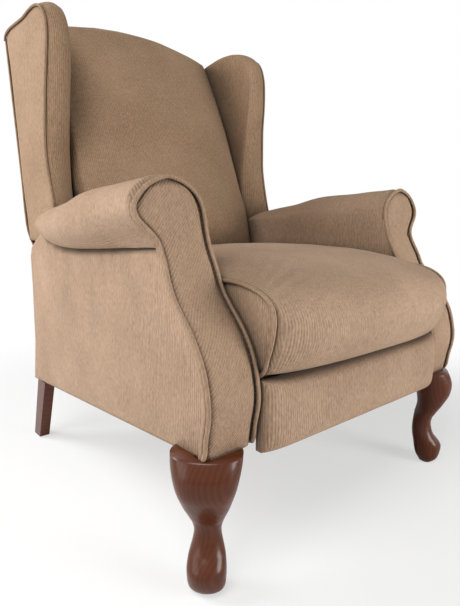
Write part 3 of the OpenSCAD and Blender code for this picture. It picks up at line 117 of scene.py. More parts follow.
sky = bpy.data.worlds.new("studio sky")
bpy.context.scene.world = sky
sky.use_nodes = True
nodes, links = sky.node_tree.nodes, sky.node_tree.links
sky_light = set_sockets(nodes["Background"], Color=(1, 0.995, 0.985, 1), Strength=0.03)
sky_seen = new_node(nodes, "ShaderNodeBackground", Color=(1, 1, 1, 1))
seen = nodes.new("ShaderNodeLightPath")
white_to = math_node(nodes, links, "MAXIMUM", seen.outputs["Is Camera Ray"], seen.outputs["Is Glossy Ray"])
white_to = math_node(nodes, links, "MAXIMUM", white_to, seen.outputs["Is Transmission Ray"])
sky_mix = nodes.new("ShaderNodeMixShader")
links.new(white_to, sky_mix.inputs["Fac"])
links.new(sky_light.outputs["Background"], sky_mix.inputs[1])
links.new(sky_seen.outputs["Background"], sky_mix.inputs[2])
links.new(sky_mix.outputs["Shader"], nodes["World Output"].inputs["Surface"])

chair_middle = Vector((0.0, 0.0, 0.55))
for lamp_name, spot, size, watts in (
        ("rear_softbox", (-2.08, 1.75, 1.77), 1.7, 68),
        ("high_softbox", (-1.67, -0.96, 2.8), 1.7, 50),
        ("side_softbox", (-2.0, 0.0, 0.6), 1.2, 8),
        ("front_softbox", (0.82, -2.25, 0.7), 1.2, 36)):
    lamp = bpy.data.objects.new(lamp_name, bpy.data.lights.new(lamp_name, "AREA"))
    lamp.data.shape = "DISK"
    lamp.data.size = size
    lamp.data.energy = watts
    lamp.location = spot
    lamp.rotation_euler = (chair_middle - Vector(spot)).to_track_quat("-Z", "Y").to_euler()
    bpy.context.scene.collection.objects.link(lamp)

# Inner frame. Posts, rails, boards and blocks of planed hardwood, glued and dowelled. They stay
# bare, because the cloth hides them, and are seen only from under the chair or with the back down.


def shader_group(name, takes, gives):
    """A new node group with its sockets, and its input and output nodes."""
    group = bpy.data.node_groups.new(name, "ShaderNodeTree")
    for direction, sockets in (("INPUT", takes), ("OUTPUT", gives)):
        for socket, kind in sockets:
            group.interface.new_socket(socket, in_out=direction, socket_type="NodeSocket" + kind)
    nodes = group.nodes
    return group, nodes, group.links, nodes.new("NodeGroupInput"), nodes.new("NodeGroupOutput")


grain, nodes, links, given, made = shader_group(
    "wood grain", (("Pale", "Color"), ("Dark", "Color"), ("Ring spacing", "Float"), ("Fibre", "Float")),
    (("Color", "Color"), ("Height", "Float")))
place = nodes.new("ShaderNodeTexCoord")
along = new_node(nodes, "ShaderNodeMapping", Scale=(1, 1, 0.12))
bend = new_node(nodes, "ShaderNodeTexNoise", Scale=9, Detail=3)
bent = nodes.new("ShaderNodeVectorMath")
bent.operation = "MULTIPLY_ADD"
ring_waver = 0.03
bent.inputs[1].default_value = (ring_waver, ring_waver, ring_waver)
rings = new_node(nodes, "ShaderNodeTexWave", Distortion=2.5, Detail=3)
rings.wave_type = "RINGS"
fibre = new_node(nodes, "ShaderNodeTexNoise", Detail=4, Roughness=0.7)
ring_share = 0.6
layered = math_node(nodes, links, "MULTIPLY_ADD", rings.outputs["Fac"], ring_share, fibre.outputs["Fac"])
tint = nodes.new("ShaderNodeMix")
tint.data_type = "RGBA"
links.new(place.outputs["Object"], along.inputs["Vector"])
links.new(along.outputs["Vector"], bend.inputs["Vector"])
links.new(bend.outputs["Color"], bent.inputs[0])
links.new(along.outputs["Vector"], bent.inputs[2])
links.new(bent.outputs["Vector"], rings.inputs["Vector"])
links.new(given.outputs["Ring spacing"], rings.inputs["Scale"])
links.new(along.outputs["Vector"], fibre.inputs["Vector"])
links.new(given.outputs["Fibre"], fibre.inputs["Scale"])
links.new(layered, tint.inputs["Factor"])
links.new(given.outputs["Pale"], tint.inputs["A"])
links.new(given.outputs["Dark"], tint.inputs["B"])
links.new(tint.outputs["Result"], made.inputs["Color"])
links.new(layered, made.inputs["Height"])


def new_material(name, roughness, metallic=0.0):
    material = bpy.data.materials.new(name)
    material.use_nodes = True
    surface = set_sockets(material.node_tree.nodes["Principled BSDF"], Roughness=roughness, Metallic=metallic)
    return material, material.node_tree.nodes, material.node_tree.links, surface


def bump_from(nodes, links, surface, height, strength, distance):
    bump = new_node(nodes, "ShaderNodeBump", Strength=strength, Distance=distance)
    links.new(height, bump.inputs["Height"])
    links.new(bump.outputs["Normal"], surface.inputs["Normal"])


def finish_nodes(material, *node_names):
    for node_name in node_names:
        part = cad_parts[node_name]
        part.data.materials.clear()
        part.data.materials.append(material)


def effect_node(nodes, effect, **values):
    """A node that holds one of the shared node groups, with its inputs set."""
    node = nodes.new("ShaderNodeGroup")
    node.node_tree = effect
    return set_sockets(node, **values)


def wood_material(name, roughness, pale, dark, ring_spacing, fibre, bump, depth):
    """A material that takes its colour and height from the wood grain group."""
    material, nodes, links, surface = new_material(name, roughness)
    wood = effect_node(nodes, grain, Pale=(*pale, 1), Dark=(*dark, 1), Ring_spacing=ring_spacing, Fibre=fibre)
    links.new(wood.outputs["Color"], surface.inputs["Base Color"])
    bump_from(nodes, links, surface, wood.outputs["Height"], bump, depth)
    return material, surface


planed, surface = wood_material("planed frame wood", 0.62, pale=(0.56, 0.37, 0.18), dark=(0.36, 0.21, 0.09),
                                ring_spacing=14, fibre=160, bump=0.25, depth=0.0006)
finish_nodes(planed, "arm_boards", "front_posts", "rear_posts", "bottom_side_rails", "mechanism_rails",
             "pivot_blocks", "middle_cross_rail", "rear_cross_rail", "corner_blocks", "back_posts",
             "back_top_board", "back_bottom_rail", "wing_boards", "wing_cleats", "panel_cleats",
             "seat_cross_rails", "seat_side_rails", "footrest_board")

# Reclining linkage and springs. Pressed and zinc-plated steel plates with a drawn, slightly
# cloudy surface; blackened pins, tube and spring wire; felt decking; moulded nylon glides.


def cloudy_material(name, roughness, metallic, scale, detail, dark, pale, bump, depth, place_by="Object"):
    """A material whose colour and height drift a little, by one noise."""
    material, nodes, links, surface = new_material(name, roughness, metallic)
    place = nodes.new("ShaderNodeTexCoord")
    cloud = new_node(nodes, "ShaderNodeTexNoise", Scale=scale, Detail=detail)
    tint = nodes.new("ShaderNodeValToRGB")
    tint.color_ramp.elements[0].color = (*dark, 1)
    tint.color_ramp.elements[1].color = (*pale, 1)
    links.new(place.outputs[place_by], cloud.inputs["Vector"])
    links.new(cloud.outputs["Fac"], tint.inputs["Fac"])
    links.new(tint.outputs["Color"], surface.inputs["Base Color"])
    bump_from(nodes, links, surface, cloud.outputs["Fac"], bump, depth)
    return material


zinc = cloudy_material("zinc plated plate", 0.36, 1.0, scale=40, detail=5, dark=(0.42, 0.43, 0.45),
                       pale=(0.66, 0.66, 0.65), bump=0.15, depth=0.0004)
finish_nodes(zinc, "leg_bolts", "base_plates", "tension_washers", "tension_wing_nuts", "back_brackets",
             "seat_side_plates", "spring_clips", "rear_links", "front_links", "carrier_links",
             "control_rods", "footrest_brackets")

black_steel = cloudy_material("blackened steel", 0.42, 0.85, scale=120, detail=4, dark=(0.03, 0.03, 0.035),
                              pale=(0.11, 0.11, 0.12), bump=0.1, depth=0.0003)
finish_nodes(black_steel, "back_pivot_pins", "seat_pivot_pins", "seat_pins", "drive_tube", "back_springs",
             "seat_springs")

felt = cloudy_material("insulator felt", 0.95, 0.0, scale=420, detail=6, dark=(0.012, 0.012, 0.013),
                       pale=(0.07, 0.07, 0.075), bump=0.5, depth=0.001)
finish_nodes(felt, "seat_deck")

nylon = cloudy_material("moulded nylon", 0.5, 0.0, scale=300, detail=2, dark=(0.55, 0.54, 0.5),
                        pale=(0.68, 0.67, 0.63), bump=0.1, depth=0.0003, place_by="Generated")
finish_nodes(nylon, "floor_glides")

# Legs. Two carved cabriole legs at the front, each standing on the diagonal with a swelling knee,
# a slim ankle and a pad foot, and two square raked legs at the back. Reddish-brown stained
# hardwood under a thin coat of lacquer. The cabriole legs are smooth skins over the carved sections.
lacquer, surface = wood_material("lacquered leg wood", 0.28, pale=(0.115, 0.030, 0.008),
                                 dark=(0.078, 0.018, 0.005), ring_spacing=48, fibre=320, bump=0.08,
                                 depth=0.0004)
set_sockets(surface, Coat_Weight=0.16, Coat_Roughness=0.12, Specular_IOR_Level=0.2)


def curve_value(knots, at):
    """A smooth curve through (at, value) knots, read at one place."""
    if at <= knots[0][0]:
        return knots[0][1]
    if at >= knots[-1][0]:
        return knots[-1][1]
    i = max(k for k in range(len(knots) - 1) if knots[k][0] <= at)

    def slope(k):
        if k == 0:
            return (knots[1][1] - knots[0][1]) / (knots[1][0] - knots[0][0])
        if k == len(knots) - 1:
            return (knots[-1][1] - knots[-2][1]) / (knots[-1][0] - knots[-2][0])
        return (knots[k + 1][1] - knots[k - 1][1]) / (knots[k + 1][0] - knots[k - 1][0])

    (t0, v0), (t1, v1) = knots[i], knots[i + 1]
    span = t1 - t0
    t = (at - t0) / span
    return (v0 * (2 * t ** 3 - 3 * t ** 2 + 1) + slope(i) * span * (t ** 3 - 2 * t ** 2 + t)
            + v1 * (3 * t ** 2 - 2 * t ** 3) + slope(i + 1) * span * (t ** 3 - t ** 2))


def mesh_piece(name, points, faces, material):
    """A smooth-shaded mesh object with its doubled points joined and its faces turned outward."""
    mesh = bpy.data.meshes.new(name)
    mesh.from_pydata([tuple(p) for p in points], [], faces)
    mesh.validate()
    tidy = bmesh.new()
    tidy.from_mesh(mesh)
    bmesh.ops.remove_doubles(tidy, verts=tidy.verts, dist=1e-5)
    bmesh.ops.recalc_face_normals(tidy, faces=tidy.faces)
    tidy.to_mesh(mesh)
    tidy.free()
    for face in mesh.polygons:
        face.use_smooth = True
    mesh.materials.append(material)
    piece = bpy.data.objects.new(name, mesh)
    bpy.context.scene.collection.objects.link(piece)
    return piece


def skin_through(rings):
    """Points and faces of a closed skin through rings of equal count."""
    count = len(rings[0])
    points = [p for ring in rings for p in ring]
    faces = [(j * count + i, j * count + (i + 1) % count, (j + 1) * count + (i + 1) % count,
              (j + 1) * count + i) for j in range(len(rings) - 1) for i in range(count)]
    faces.append(tuple(reversed(range(count))))
    faces.append(tuple((len(rings) - 1) * count + i for i in range(count)))
    return points, faces


knee_width = 0.116
leg_height = 0.237
knee_squareness = 0.05
front_y = -0.3835
body_corner = (0.364, front_y)
outer_face = [(0.0, -0.135), (0.02, -0.06), (0.05, -0.01), (0.12, 0.034), (0.18, 0.034), (0.24, -0.05),
              (0.28, -0.12), (0.35, -0.175), (0.42, -0.195), (0.5, -0.16), (0.56, -0.1), (0.61, -0.04),
              (0.67, 0.03), (0.73, 0.095), (0.79, 0.13), (0.87, 0.135), (0.94, 0.09), (1.0, 0.03)]
inner_face = [(0.0, -0.39), (0.02, -0.41), (0.05, -0.45), (0.12, -0.49), (0.18, -0.51), (0.24, -0.535),
              (0.28, -0.55), (0.35, -0.56), (0.42, -0.555), (0.5, -0.53), (0.56, -0.49), (0.61, -0.47),
              (0.67, -0.48), (0.73, -0.505), (0.79, -0.55), (0.87, -0.6), (0.94, -0.64), (1.0, -0.66)]
leg_width = [(0.0, 0.4), (0.02, 0.47), (0.05, 0.53), (0.12, 0.56), (0.18, 0.56), (0.24, 0.53), (0.28, 0.49),
             (0.35, 0.42), (0.42, 0.39), (0.5, 0.47), (0.56, 0.56), (0.61, 0.64), (0.67, 0.72), (0.73, 0.8),
             (0.79, 0.87), (0.87, 0.94), (0.94, 0.985), (1.0, 1.0)]
glide_height = 0.003
leg_steps, leg_turns = 72, 48
for side, leg_name in ((1, "left_front_leg"), (-1, "right_front_leg")):
    rings = []
    for step in range(leg_steps + 1):
        share = step / leg_steps
        front, back = curve_value(outer_face, share), curve_value(inner_face, share)
        middle, deep = (front + back) / 2 * knee_width, (front - back) / 2 * knee_width
        wide = curve_value(leg_width, share) / 2 * knee_width
        ring = []
        for turn in range(leg_turns):
            angle = math.tau * turn / leg_turns
            squarer = 1 + knee_squareness * math.sin(2 * angle) ** 2 * (share > 0.5)
            u = middle + deep * math.cos(angle) * squarer
            v = wide * math.sin(angle) * squarer
            x = body_corner[0] + (u - v) * math.sqrt(0.5)
            y = body_corner[1] - (u + v) * math.sqrt(0.5)
            ring.append(Vector((side * x, y, glide_height + share * (leg_height - glide_height))))
        rings.append(ring)
    leg = mesh_piece(leg_name + "_carved", *skin_through(rings), lacquer)
    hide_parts(leg_name)
    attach(leg, "base")
finish_nodes(lacquer, "left_rear_leg", "right_rear_leg")

# Arm covers. One piece of short-pile cloth wraps each stuffed roll, from the crease under it over
# the top and down the inner side of the arm, and is pulled in against the wing. The cloth is a fine
# ribbed velvet in lighter and darker patches, with painted shade in its tight hollows and creases,
# where ambient occlusion darkens its colour, to match its look.
pile, nodes, links, given, made = shader_group(
    "brushed pile", (("Light", "Color"), ("Shade", "Color"), ("Rib pitch", "Float"), ("Rib slant", "Float"),
                     ("Patches", "Float"), ("Crush reach", "Float")),
    (("Color", "Color"), ("Height", "Float"), ("Roughness", "Float")))
place = nodes.new("ShaderNodeTexCoord")
facing = nodes.new("ShaderNodeNewGeometry")
parts = nodes.new("ShaderNodeSeparateXYZ")
links.new(place.outputs["Object"], parts.inputs["Vector"])
normal_parts = nodes.new("ShaderNodeSeparateXYZ")
links.new(facing.outputs["Normal"], normal_parts.inputs["Vector"])
wander = new_node(nodes, "ShaderNodeTexNoise", Scale=18, Detail=2)
links.new(place.outputs["Object"], wander.inputs["Vector"])
wobble = math_node(nodes, links, "MULTIPLY", wander.outputs["Fac"], 0.003)
ribs = []
for axis in ("X", "Y"):
    slanted = math_node(nodes, links, "MULTIPLY_ADD", parts.outputs["Z"], given.outputs["Rib slant"], wobble)
    shifted = math_node(nodes, links, "ADD", parts.outputs[axis], slanted)
    turns = math_node(nodes, links, "DIVIDE", shifted, given.outputs["Rib pitch"])
    ribs.append(math_node(nodes, links, "SINE", math_node(nodes, links, "MULTIPLY", turns, math.tau)))
sideways = math_node(nodes, links, "ABSOLUTE", normal_parts.outputs["X"])
side_share = new_node(nodes, "ShaderNodeMapRange", From_Min=0.6, From_Max=0.8)
side_share.interpolation_type = "SMOOTHSTEP"
links.new(sideways, side_share.inputs["Value"])
rib_mix = nodes.new("ShaderNodeMix")
links.new(side_share.outputs["Result"], rib_mix.inputs["Factor"])
links.new(ribs[0], rib_mix.inputs["A"])
links.new(ribs[1], rib_mix.inputs["B"])
broad = new_node(nodes, "ShaderNodeTexNoise", Scale=7, Detail=3, Roughness=0.55)
links.new(place.outputs["Object"], broad.inputs["Vector"])
brushed = new_node(nodes, "ShaderNodeMapping", Scale=(200, 200, 60))
links.new(place.outputs["Object"], brushed.inputs["Vector"])
strokes = new_node(nodes, "ShaderNodeTexNoise", Scale=1, Detail=5, Roughness=0.62)
links.new(brushed.outputs["Vector"], strokes.inputs["Vector"])
yarn = new_node(nodes, "ShaderNodeTexNoise", Scale=2.1, Detail=2)
links.new(brushed.outputs["Vector"], yarn.inputs["Vector"])
stroke_share, yarn_share, rib_share = 0.9, 1.5, 0.17
about_zero = [math_node(nodes, links, "SUBTRACT", speckle.outputs["Fac"], 0.5)
              for speckle in (broad, strokes, yarn)]
patches = math_node(nodes, links, "MULTIPLY_ADD", about_zero[0], given.outputs["Patches"], 0.5)
streaks = math_node(nodes, links, "MULTIPLY_ADD", about_zero[1],
                    math_node(nodes, links, "MULTIPLY", given.outputs["Patches"], stroke_share), patches)
fuzz = math_node(nodes, links, "MULTIPLY_ADD", about_zero[2], yarn_share, streaks)
lit = math_node(nodes, links, "MULTIPLY_ADD", rib_mix.outputs["Result"], rib_share, fuzz, clamp=True)
tint = nodes.new("ShaderNodeMix")
tint.data_type = "RGBA"
links.new(lit, tint.inputs["Factor"])
links.new(given.outputs["Shade"], tint.inputs["A"])
links.new(given.outputs["Light"], tint.inputs["B"])
# Painted shade: ambient occlusion darkens the colour in hollows, creases and recesses, down to 0.35 of it.
hollows = nodes.new("ShaderNodeAmbientOcclusion")
hollows.samples = 8
links.new(given.outputs["Crush reach"], hollows.inputs["Distance"])
painted_hollow_shade = new_node(nodes, "ShaderNodeMapRange", From_Min=0.2, From_Max=0.85, To_Min=0.35)
links.new(hollows.outputs["AO"], painted_hollow_shade.inputs["Value"])
shaded = nodes.new("ShaderNodeMix")
shaded.data_type = "RGBA"
shaded.blend_type = "MULTIPLY"
shaded.inputs["Factor"].default_value = 1
links.new(tint.outputs["Result"], shaded.inputs["A"])
links.new(painted_hollow_shade.outputs["Result"], shaded.inputs["B"])
links.new(shaded.outputs["Result"], made.inputs["Color"])
links.new(math_node(nodes, links, "MULTIPLY_ADD", rib_mix.outputs["Result"], 0.5, yarn.outputs["Fac"]),
          made.inputs["Height"])
links.new(math_node(nodes, links, "MULTIPLY_ADD", lit, -0.15, 0.86), made.inputs["Roughness"])


def velvet(name, light, shade, patches=0.9, rib=0.0046, slant=0.0, reach=0.05):
    """The chair's cloth: two tones, how patchy it is, its rib, and how far its painted hollow shade reaches.
    """
    material, nodes, links, surface = new_material(name, 0.8)
    cloth = effect_node(nodes, pile, Light=(*light, 1), Shade=(*shade, 1), Rib_pitch=rib, Rib_slant=slant,
                        Patches=patches, Crush_reach=reach)
    links.new(cloth.outputs["Color"], surface.inputs["Base Color"])
    links.new(cloth.outputs["Roughness"], surface.inputs["Roughness"])
    set_sockets(surface, Sheen_Weight=0.12, Sheen_Roughness=0.4, Sheen_Tint=(1.0, 0.86, 0.74, 1),
                Specular_IOR_Level=0.15)
    bump_from(nodes, links, surface, cloth.outputs["Height"], 0.6, 0.0010)
    return material


body_velvet = velvet("taupe velvet", (0.480, 0.330, 0.226), (0.265, 0.172, 0.109))
welt_velvet = velvet("taupe velvet welt", (0.44, 0.298, 0.200), (0.27, 0.175, 0.112), 0.8)


def spline_point(a, b, c, d, t):
    """A point from b (t = 0) to c (t = 1) on a smooth curve through four points."""
    return 0.5 * (2 * b + (c - a) * t + (2 * a - 5 * b + 4 * c - d) * t * t
                  + (3 * b - a - 3 * c + d) * t ** 3)


def spline_rows(rows, per_row, per_point):
    """A finer grid of points on smooth curves through a coarse grid, in both directions."""
    def refine(line, steps):
        fine = []
        for i in range(len(line) - 1):
            a, b, c, d = line[max(0, i - 1)], line[i], line[i + 1], line[min(len(line) - 1, i + 2)]
            fine += [spline_point(a, b, c, d, k / steps) for k in range(steps)]
        return fine + [line[-1]]
    across = [refine(row, per_point) for row in rows]
    columns = [refine([row[i] for row in across], per_row) for i in range(len(across[0]))]
    return [[column[j] for column in columns] for j in range(len(columns[0]))]


def grid_faces(row_count, column_count):
    return [(j * column_count + i, j * column_count + i + 1, (j + 1) * column_count + i + 1,
             (j + 1) * column_count + i) for j in range(row_count - 1) for i in range(column_count - 1)]


def cloth_sheet(name, rows, material):
    return mesh_piece(name, [p for row in rows for p in row], grid_faces(len(rows), len(rows[0])), material)


def unevenness(point, size, depth):
    """Small hills and hollows of hand-laid padding."""
    return depth * noise.noise(point / size)


arm_station_y = (0.131, 0.275, 0.373, 0.451, 0.511, 0.560, 0.590, 0.608, 0.617)
arm_sections_mm = (
    ((361, 549), (371, 566), (388, 584), (401, 606), (397, 632), (373, 655),
     (337, 664), (300, 655), (274, 629), (266, 595), (266, 500)),
    ((364, 541), (380, 552), (395, 570), (402, 596), (395, 625), (370, 647),
     (335, 655), (300, 646), (275, 621), (266, 590), (266, 497)),
    ((364, 535), (381, 544), (396, 562), (402, 588), (394, 619), (369, 642),
     (334, 650), (300, 641), (275, 617), (266, 587), (266, 495)),
    ((364, 532), (382, 541), (396, 556), (402, 578), (393, 604), (368, 626),
     (333, 634), (300, 626), (275, 604), (266, 580), (266, 492)),
    ((364, 534), (380, 541), (394, 554), (400, 574), (392, 598), (367, 617),
     (333, 624), (300, 617), (275, 599), (266, 577), (266, 490)),
    ((364, 542), (376, 547), (387, 558), (393, 576), (386, 597), (364, 611),
     (333, 617), (300, 611), (276, 596), (266, 575), (266, 490)),
    ((364, 552), (373, 556), (382, 564), (386, 578), (380, 595), (361, 607),
     (333, 612), (301, 607), (277, 593), (267, 573), (266, 490)),
    ((364, 562), (370, 565), (377, 571), (379, 580), (373, 592), (358, 601),
     (334, 605), (305, 601), (281, 590), (269, 571), (267, 490)),
    ((364, 577), (366, 578), (368, 581), (368, 585), (364, 589), (356, 592),
     (336, 593), (312, 591), (288, 586), (274, 570), (268, 490)))
scroll_curve = [(0.237, 0.0), (0.275, -0.005), (0.312, -0.012), (0.341, -0.010), (0.383, 0.002),
                (0.421, 0.025), (0.461, 0.062), (0.482, 0.078), (0.511, 0.092), (0.553, 0.113),
                (0.600, 0.125), (0.664, 0.130)]
wing_foot = [(0.266, 0.640), (0.285, 0.622), (0.305, 0.606), (0.325, 0.593), (0.340, 0.587), (0.352, 0.600),
             (0.366, 0.617), (0.402, 0.621)]
rim_line_mm = ((359, 553), (368, 569), (383, 587), (393, 606), (387, 627), (366, 646), (335, 657), (303, 650),
               (277, 630), (266, 596), (266, 500))
tuck_in_mm, tuck_up_mm = 9, 4
inner_middle_mm, inner_foot_mm, front_foot_mm = 400, 310, 244
wing_start, wing_reach = 0.560, 0.057


def whole_section(listed, foot):
    """One section of the arm's cloth, in metres: tucked in at its start, let down inside the arm."""
    x, z = listed[0]
    inner = listed[-1][0]
    points = ((x - tuck_in_mm, z + tuck_up_mm), *listed, (inner, inner_middle_mm), (inner, foot))
    return [(x / 1000, z / 1000) for x, z in points]


for side, hand in ((1, "left"), (-1, "right")):
    rows = [[Vector((side * x, front_y + curve_value(scroll_curve, z) + 0.003, z))
             for x, z in whole_section(rim_line_mm, front_foot_mm)]]
    for station, section in zip(arm_station_y, arm_sections_mm):
        at_front = station == arm_station_y[0]
        row = []
        for x, z in whole_section(section, front_foot_mm if at_front else inner_foot_mm):
            y = station
            if at_front:
                y = curve_value(scroll_curve, z) + 0.015
            elif station > wing_start:
                past_edge = curve_value(wing_foot, x) - wing_start
                y = wing_start + past_edge * (station - wing_start) / wing_reach
            row.append(Vector((side * x, front_y + y, z)))
        rows.append(row)
    rows[2:2] = [[a.lerp(b, share) for a, b in zip(rows[1], rows[2])] for share in (0.12, 0.38)]
    fine = spline_rows(rows, 9, 5)
    for j, row in enumerate(fine):
        for i, p in enumerate(row):
            outward = Vector((p.x - side * 0.333, 0, p.z - 0.59))
            if p.z > 0.53 and outward.length > 0.02:
                fade = min(1, j / 6) * min(1, (len(fine) - 1 - j) / 8)
                tight = 0.0007 * math.sin(i * 2.1 + 0.7 * math.sin(i)) * math.exp(-j / 5) * min(1, j / 2)
                p += outward.normalized() * (unevenness(p, 0.07, 0.0016) * fade + tight)
    arm = cloth_sheet(hand + "_arm_cover", fine, body_velvet)
    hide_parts(hand + "_arm_roll", hand + "_inner_arm_panel")
    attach(arm, "base")

# Outer side panels. Cloth over board and thin foam, from the seam under the roll to the bottom
# edge, where it turns in under the rail. It hangs in faint folds below the roll, where it is tacked.


def patch_between(low, high, first, last, across, up):
    """A grid of points filling four border curves; each is a function of 0 to 1."""
    rows = []
    for j in range(up + 1):
        t = j / up
        row = []
        for i in range(across + 1):
            s = i / across
            row.append((1 - t) * low(s) + t * high(s) + (1 - s) * first(t) + s * last(t)
                       - (1 - s) * (1 - t) * low(0) - s * (1 - t) * low(1)
                       - (1 - s) * t * high(0) - s * t * high(1))
        rows.append(row)
    return rows


def polyline(points):
    """A function of 0 to 1 that walks along points at an even pace."""
    points = [Vector(p) for p in points]
    walked = [0.0]
    for a, b in zip(points, points[1:]):
        walked.append(walked[-1] + (b - a).length)

    def at(share):
        goal = min(max(share, 0.0), 1.0) * walked[-1]
        for a, b, start, end in zip(points, points[1:], walked, walked[1:]):
            if goal <= end or b is points[-1]:
                return a.lerp(b, (goal - start) / max(end - start, 1e-9))
        return points[-1].copy()
    return at


def smooth_line(points, steps=6):
    return spline_rows([[Vector(p) for p in points]] * 2, 1, steps)[0]


side_face = 0.3638
panel_foot, panel_rise = leg_height, 0.314
panel_top = [(0.160, 0.549), (0.275, 0.541), (0.373, 0.535), (0.451, 0.532), (0.511, 0.534), (0.560, 0.543),
             (0.590, 0.554), (0.612, 0.571)]
panel_corner = [(0.622, 0.574), (0.660, 0.552), (0.698, 0.532), (0.711, 0.511)]
panel_columns, panel_rows = 96, 60
for side, hand in ((1, "left"), (-1, "right")):
    front = polyline([(0, curve_value(scroll_curve, z) + 0.006, z)
                      for z in [panel_foot + panel_rise * k / 40 for k in range(41)]])
    rear = polyline([(0, 0.741, 0.178), (0, 0.719, 0.280), (0, 0.711, 0.430), (0, 0.711, 0.511)])
    low = polyline([(0, 0.006, 0.237), (0, 0.741, 0.178)])
    high = polyline(smooth_line([(0, curve_value(scroll_curve, 0.551) + 0.006, 0.551)]
                                + [(0, y, z) for y, z in panel_top])
                    + [Vector((0, y, z)) for y, z in panel_corner])
    rows = patch_between(low, high, front, rear, panel_columns, panel_rows)
    for j, row in enumerate(rows):
        for i, p in enumerate(row):
            s, t = i / panel_columns, j / panel_rows
            rim = min(1, min(s, 1 - s) * 14) * min(1, min(t * 14, (1 - t) * 22))
            folds = math.sin(p.y * 95 + 2.2 * math.sin(p.y * 23)) * math.exp(-(1 - t) * 9) * 0.0020
            tuck = 0.0026 * (1 - rim) + 0.009 * max(0.0, 1 - (1 - t) * 30) + 0.004 * max(0.0, 1 - s * 80)
            p.x = side * (side_face - tuck + (folds + unevenness(p, 0.11, 0.0016)) * rim)
            p.y += front_y
    hem = [[Vector((side * (side_face - depth), p.y, p.z + lift)) for p in rows[0]]
           for depth, lift in ((0.014, 0.0012), (0.007, 0.0002))]
    back_hem = [[r[-1] + Vector((-side * depth, -0.002, 0)) for depth in (0.005, 0.012)] for r in rows]
    rows = [row + extra for row, extra in zip(rows, back_hem)]
    hem = [row + [row[-1] + Vector((0, -0.001 * k, 0)) for k in (1, 2)] for row in hem]
    panel = cloth_sheet(hand + "_side_cover", hem + rows, body_velvet)
    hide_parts(hand + "_outer_side_panel")
    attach(panel, "base")

# Arm fronts. A padded board sawn to the scroll and covered, with a welt sewn round its edge. The
# cloth is drawn in under the scroll with one small dart.


def piping(name, line, radius, material, body):
    """A welt: a cord of cloth swept along a line of points, with slightly uneven stitching."""
    line = smooth_line(line, 4)
    rings = []
    guide = None
    for k, p in enumerate(line):
        forward = (line[min(k + 1, len(line) - 1)] - line[max(k - 1, 0)]).normalized()
        if guide is None:
            guide = forward.orthogonal().normalized()
        guide = (guide - forward * guide.dot(forward)).normalized()
        across = forward.cross(guide)
        thick = radius * (1 + 0.06 * noise.noise(p * 180))
        rings.append([p + (guide * math.cos(math.tau * i / 10) + across * math.sin(math.tau * i / 10)) * thick
                      for i in range(10)])
    welt = mesh_piece(name, *skin_through(rings), material)
    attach(welt, body)


scroll_out = [(0.237, 0.3640), (0.500, 0.3640), (0.530, 0.3615), (0.548, 0.3615), (0.562, 0.3650),
              (0.574, 0.3745), (0.585, 0.3850), (0.594, 0.3930), (0.606, 0.3980), (0.618, 0.3965),
              (0.630, 0.3890), (0.641, 0.3785), (0.650, 0.3660), (0.656, 0.3530), (0.660, 0.3400),
              (0.6612, 0.3330)]
scroll_in = [(0.237, 0.2660), (0.594, 0.2660), (0.606, 0.2672), (0.618, 0.2705), (0.630, 0.2765),
             (0.641, 0.2865), (0.650, 0.2995), (0.656, 0.3120), (0.660, 0.3260), (0.6612, 0.3330)]
neck_rise, roll_centre, roll_radius = 0.357, 0.594, 0.0672
levels = [leg_height + neck_rise * k / 54 for k in range(54)]
levels += [roll_centre + roll_radius * math.sin(math.radians(a)) for a in range(0, 91, 5)]
front_columns = 24
edge_turn = ((0.0012, 0.011), (0.0036, 0.005), (0.0036, -0.005))


def welt_seam(side, edge, gap, heights):
    """Points along one edge of an arm front, where the welt is sewn on."""
    return [Vector((side * (curve_value(edge, z) + gap), front_y + curve_value(scroll_curve, z) - 0.0022, z))
            for z in heights]


for side, hand in ((1, "left"), (-1, "right")):
    front_velvet = velvet(hand + " arm front velvet", (0.455, 0.308, 0.206), (0.262, 0.168, 0.106),
                          patches=0.8, rib=0.0056, slant=side * 0.85)
    rows = []
    for z in levels:
        x_in, x_out = curve_value(scroll_in, z), curve_value(scroll_out, z)
        width = x_out - x_in
        row = []
        for i in range(front_columns + 1):
            u = 2 * i / front_columns - 1
            crown = (1 - abs(u) ** 9) * min(1, width / 0.04) * min(1, (0.6625 - z) / 0.02)
            x = (x_in + x_out) / 2 + u * max(width / 2 - 0.0036, 0.0)
            dart = math.exp(-((z - 0.556 - 0.1 * (x - 0.35)) / 0.0035) ** 2) * max(0.0, (x - 0.325) / 0.04)
            dart *= x < 0.362
            y = curve_value(scroll_curve, z) + 0.0060 - 0.0100 * crown + 0.0028 * min(dart, 1)
            p = Vector((side * x, front_y + y, z))
            p.y += unevenness(p, 0.05, 0.0012) * crown
            row.append(p)
        rows.append(row)
    for row in rows:
        row[:0] = [row[0] + Vector((-side * out, y, 0)) for out, y in edge_turn]
        row += [row[-1] + Vector((side * out, y, 0)) for out, y in reversed(edge_turn)]
    rows.insert(0, [p + Vector((0, 0.012, 0.0)) for p in rows[0]])
    arm_front = cloth_sheet(hand + "_arm_front_cover", rows, front_velvet)
    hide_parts(hand + "_arm_front")
    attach(arm_front, "base")
    outline = welt_seam(side, scroll_out, 0.0002, levels[::2])
    outline += welt_seam(side, scroll_in, -0.0002, reversed(levels[:-1:2]))
    for end in (0, -1):
        outline[end] += Vector((0, 0.003, 0.003))
    piping(hand + "_arm_front_welt", outline, 0.0038, welt_velvet, "base")

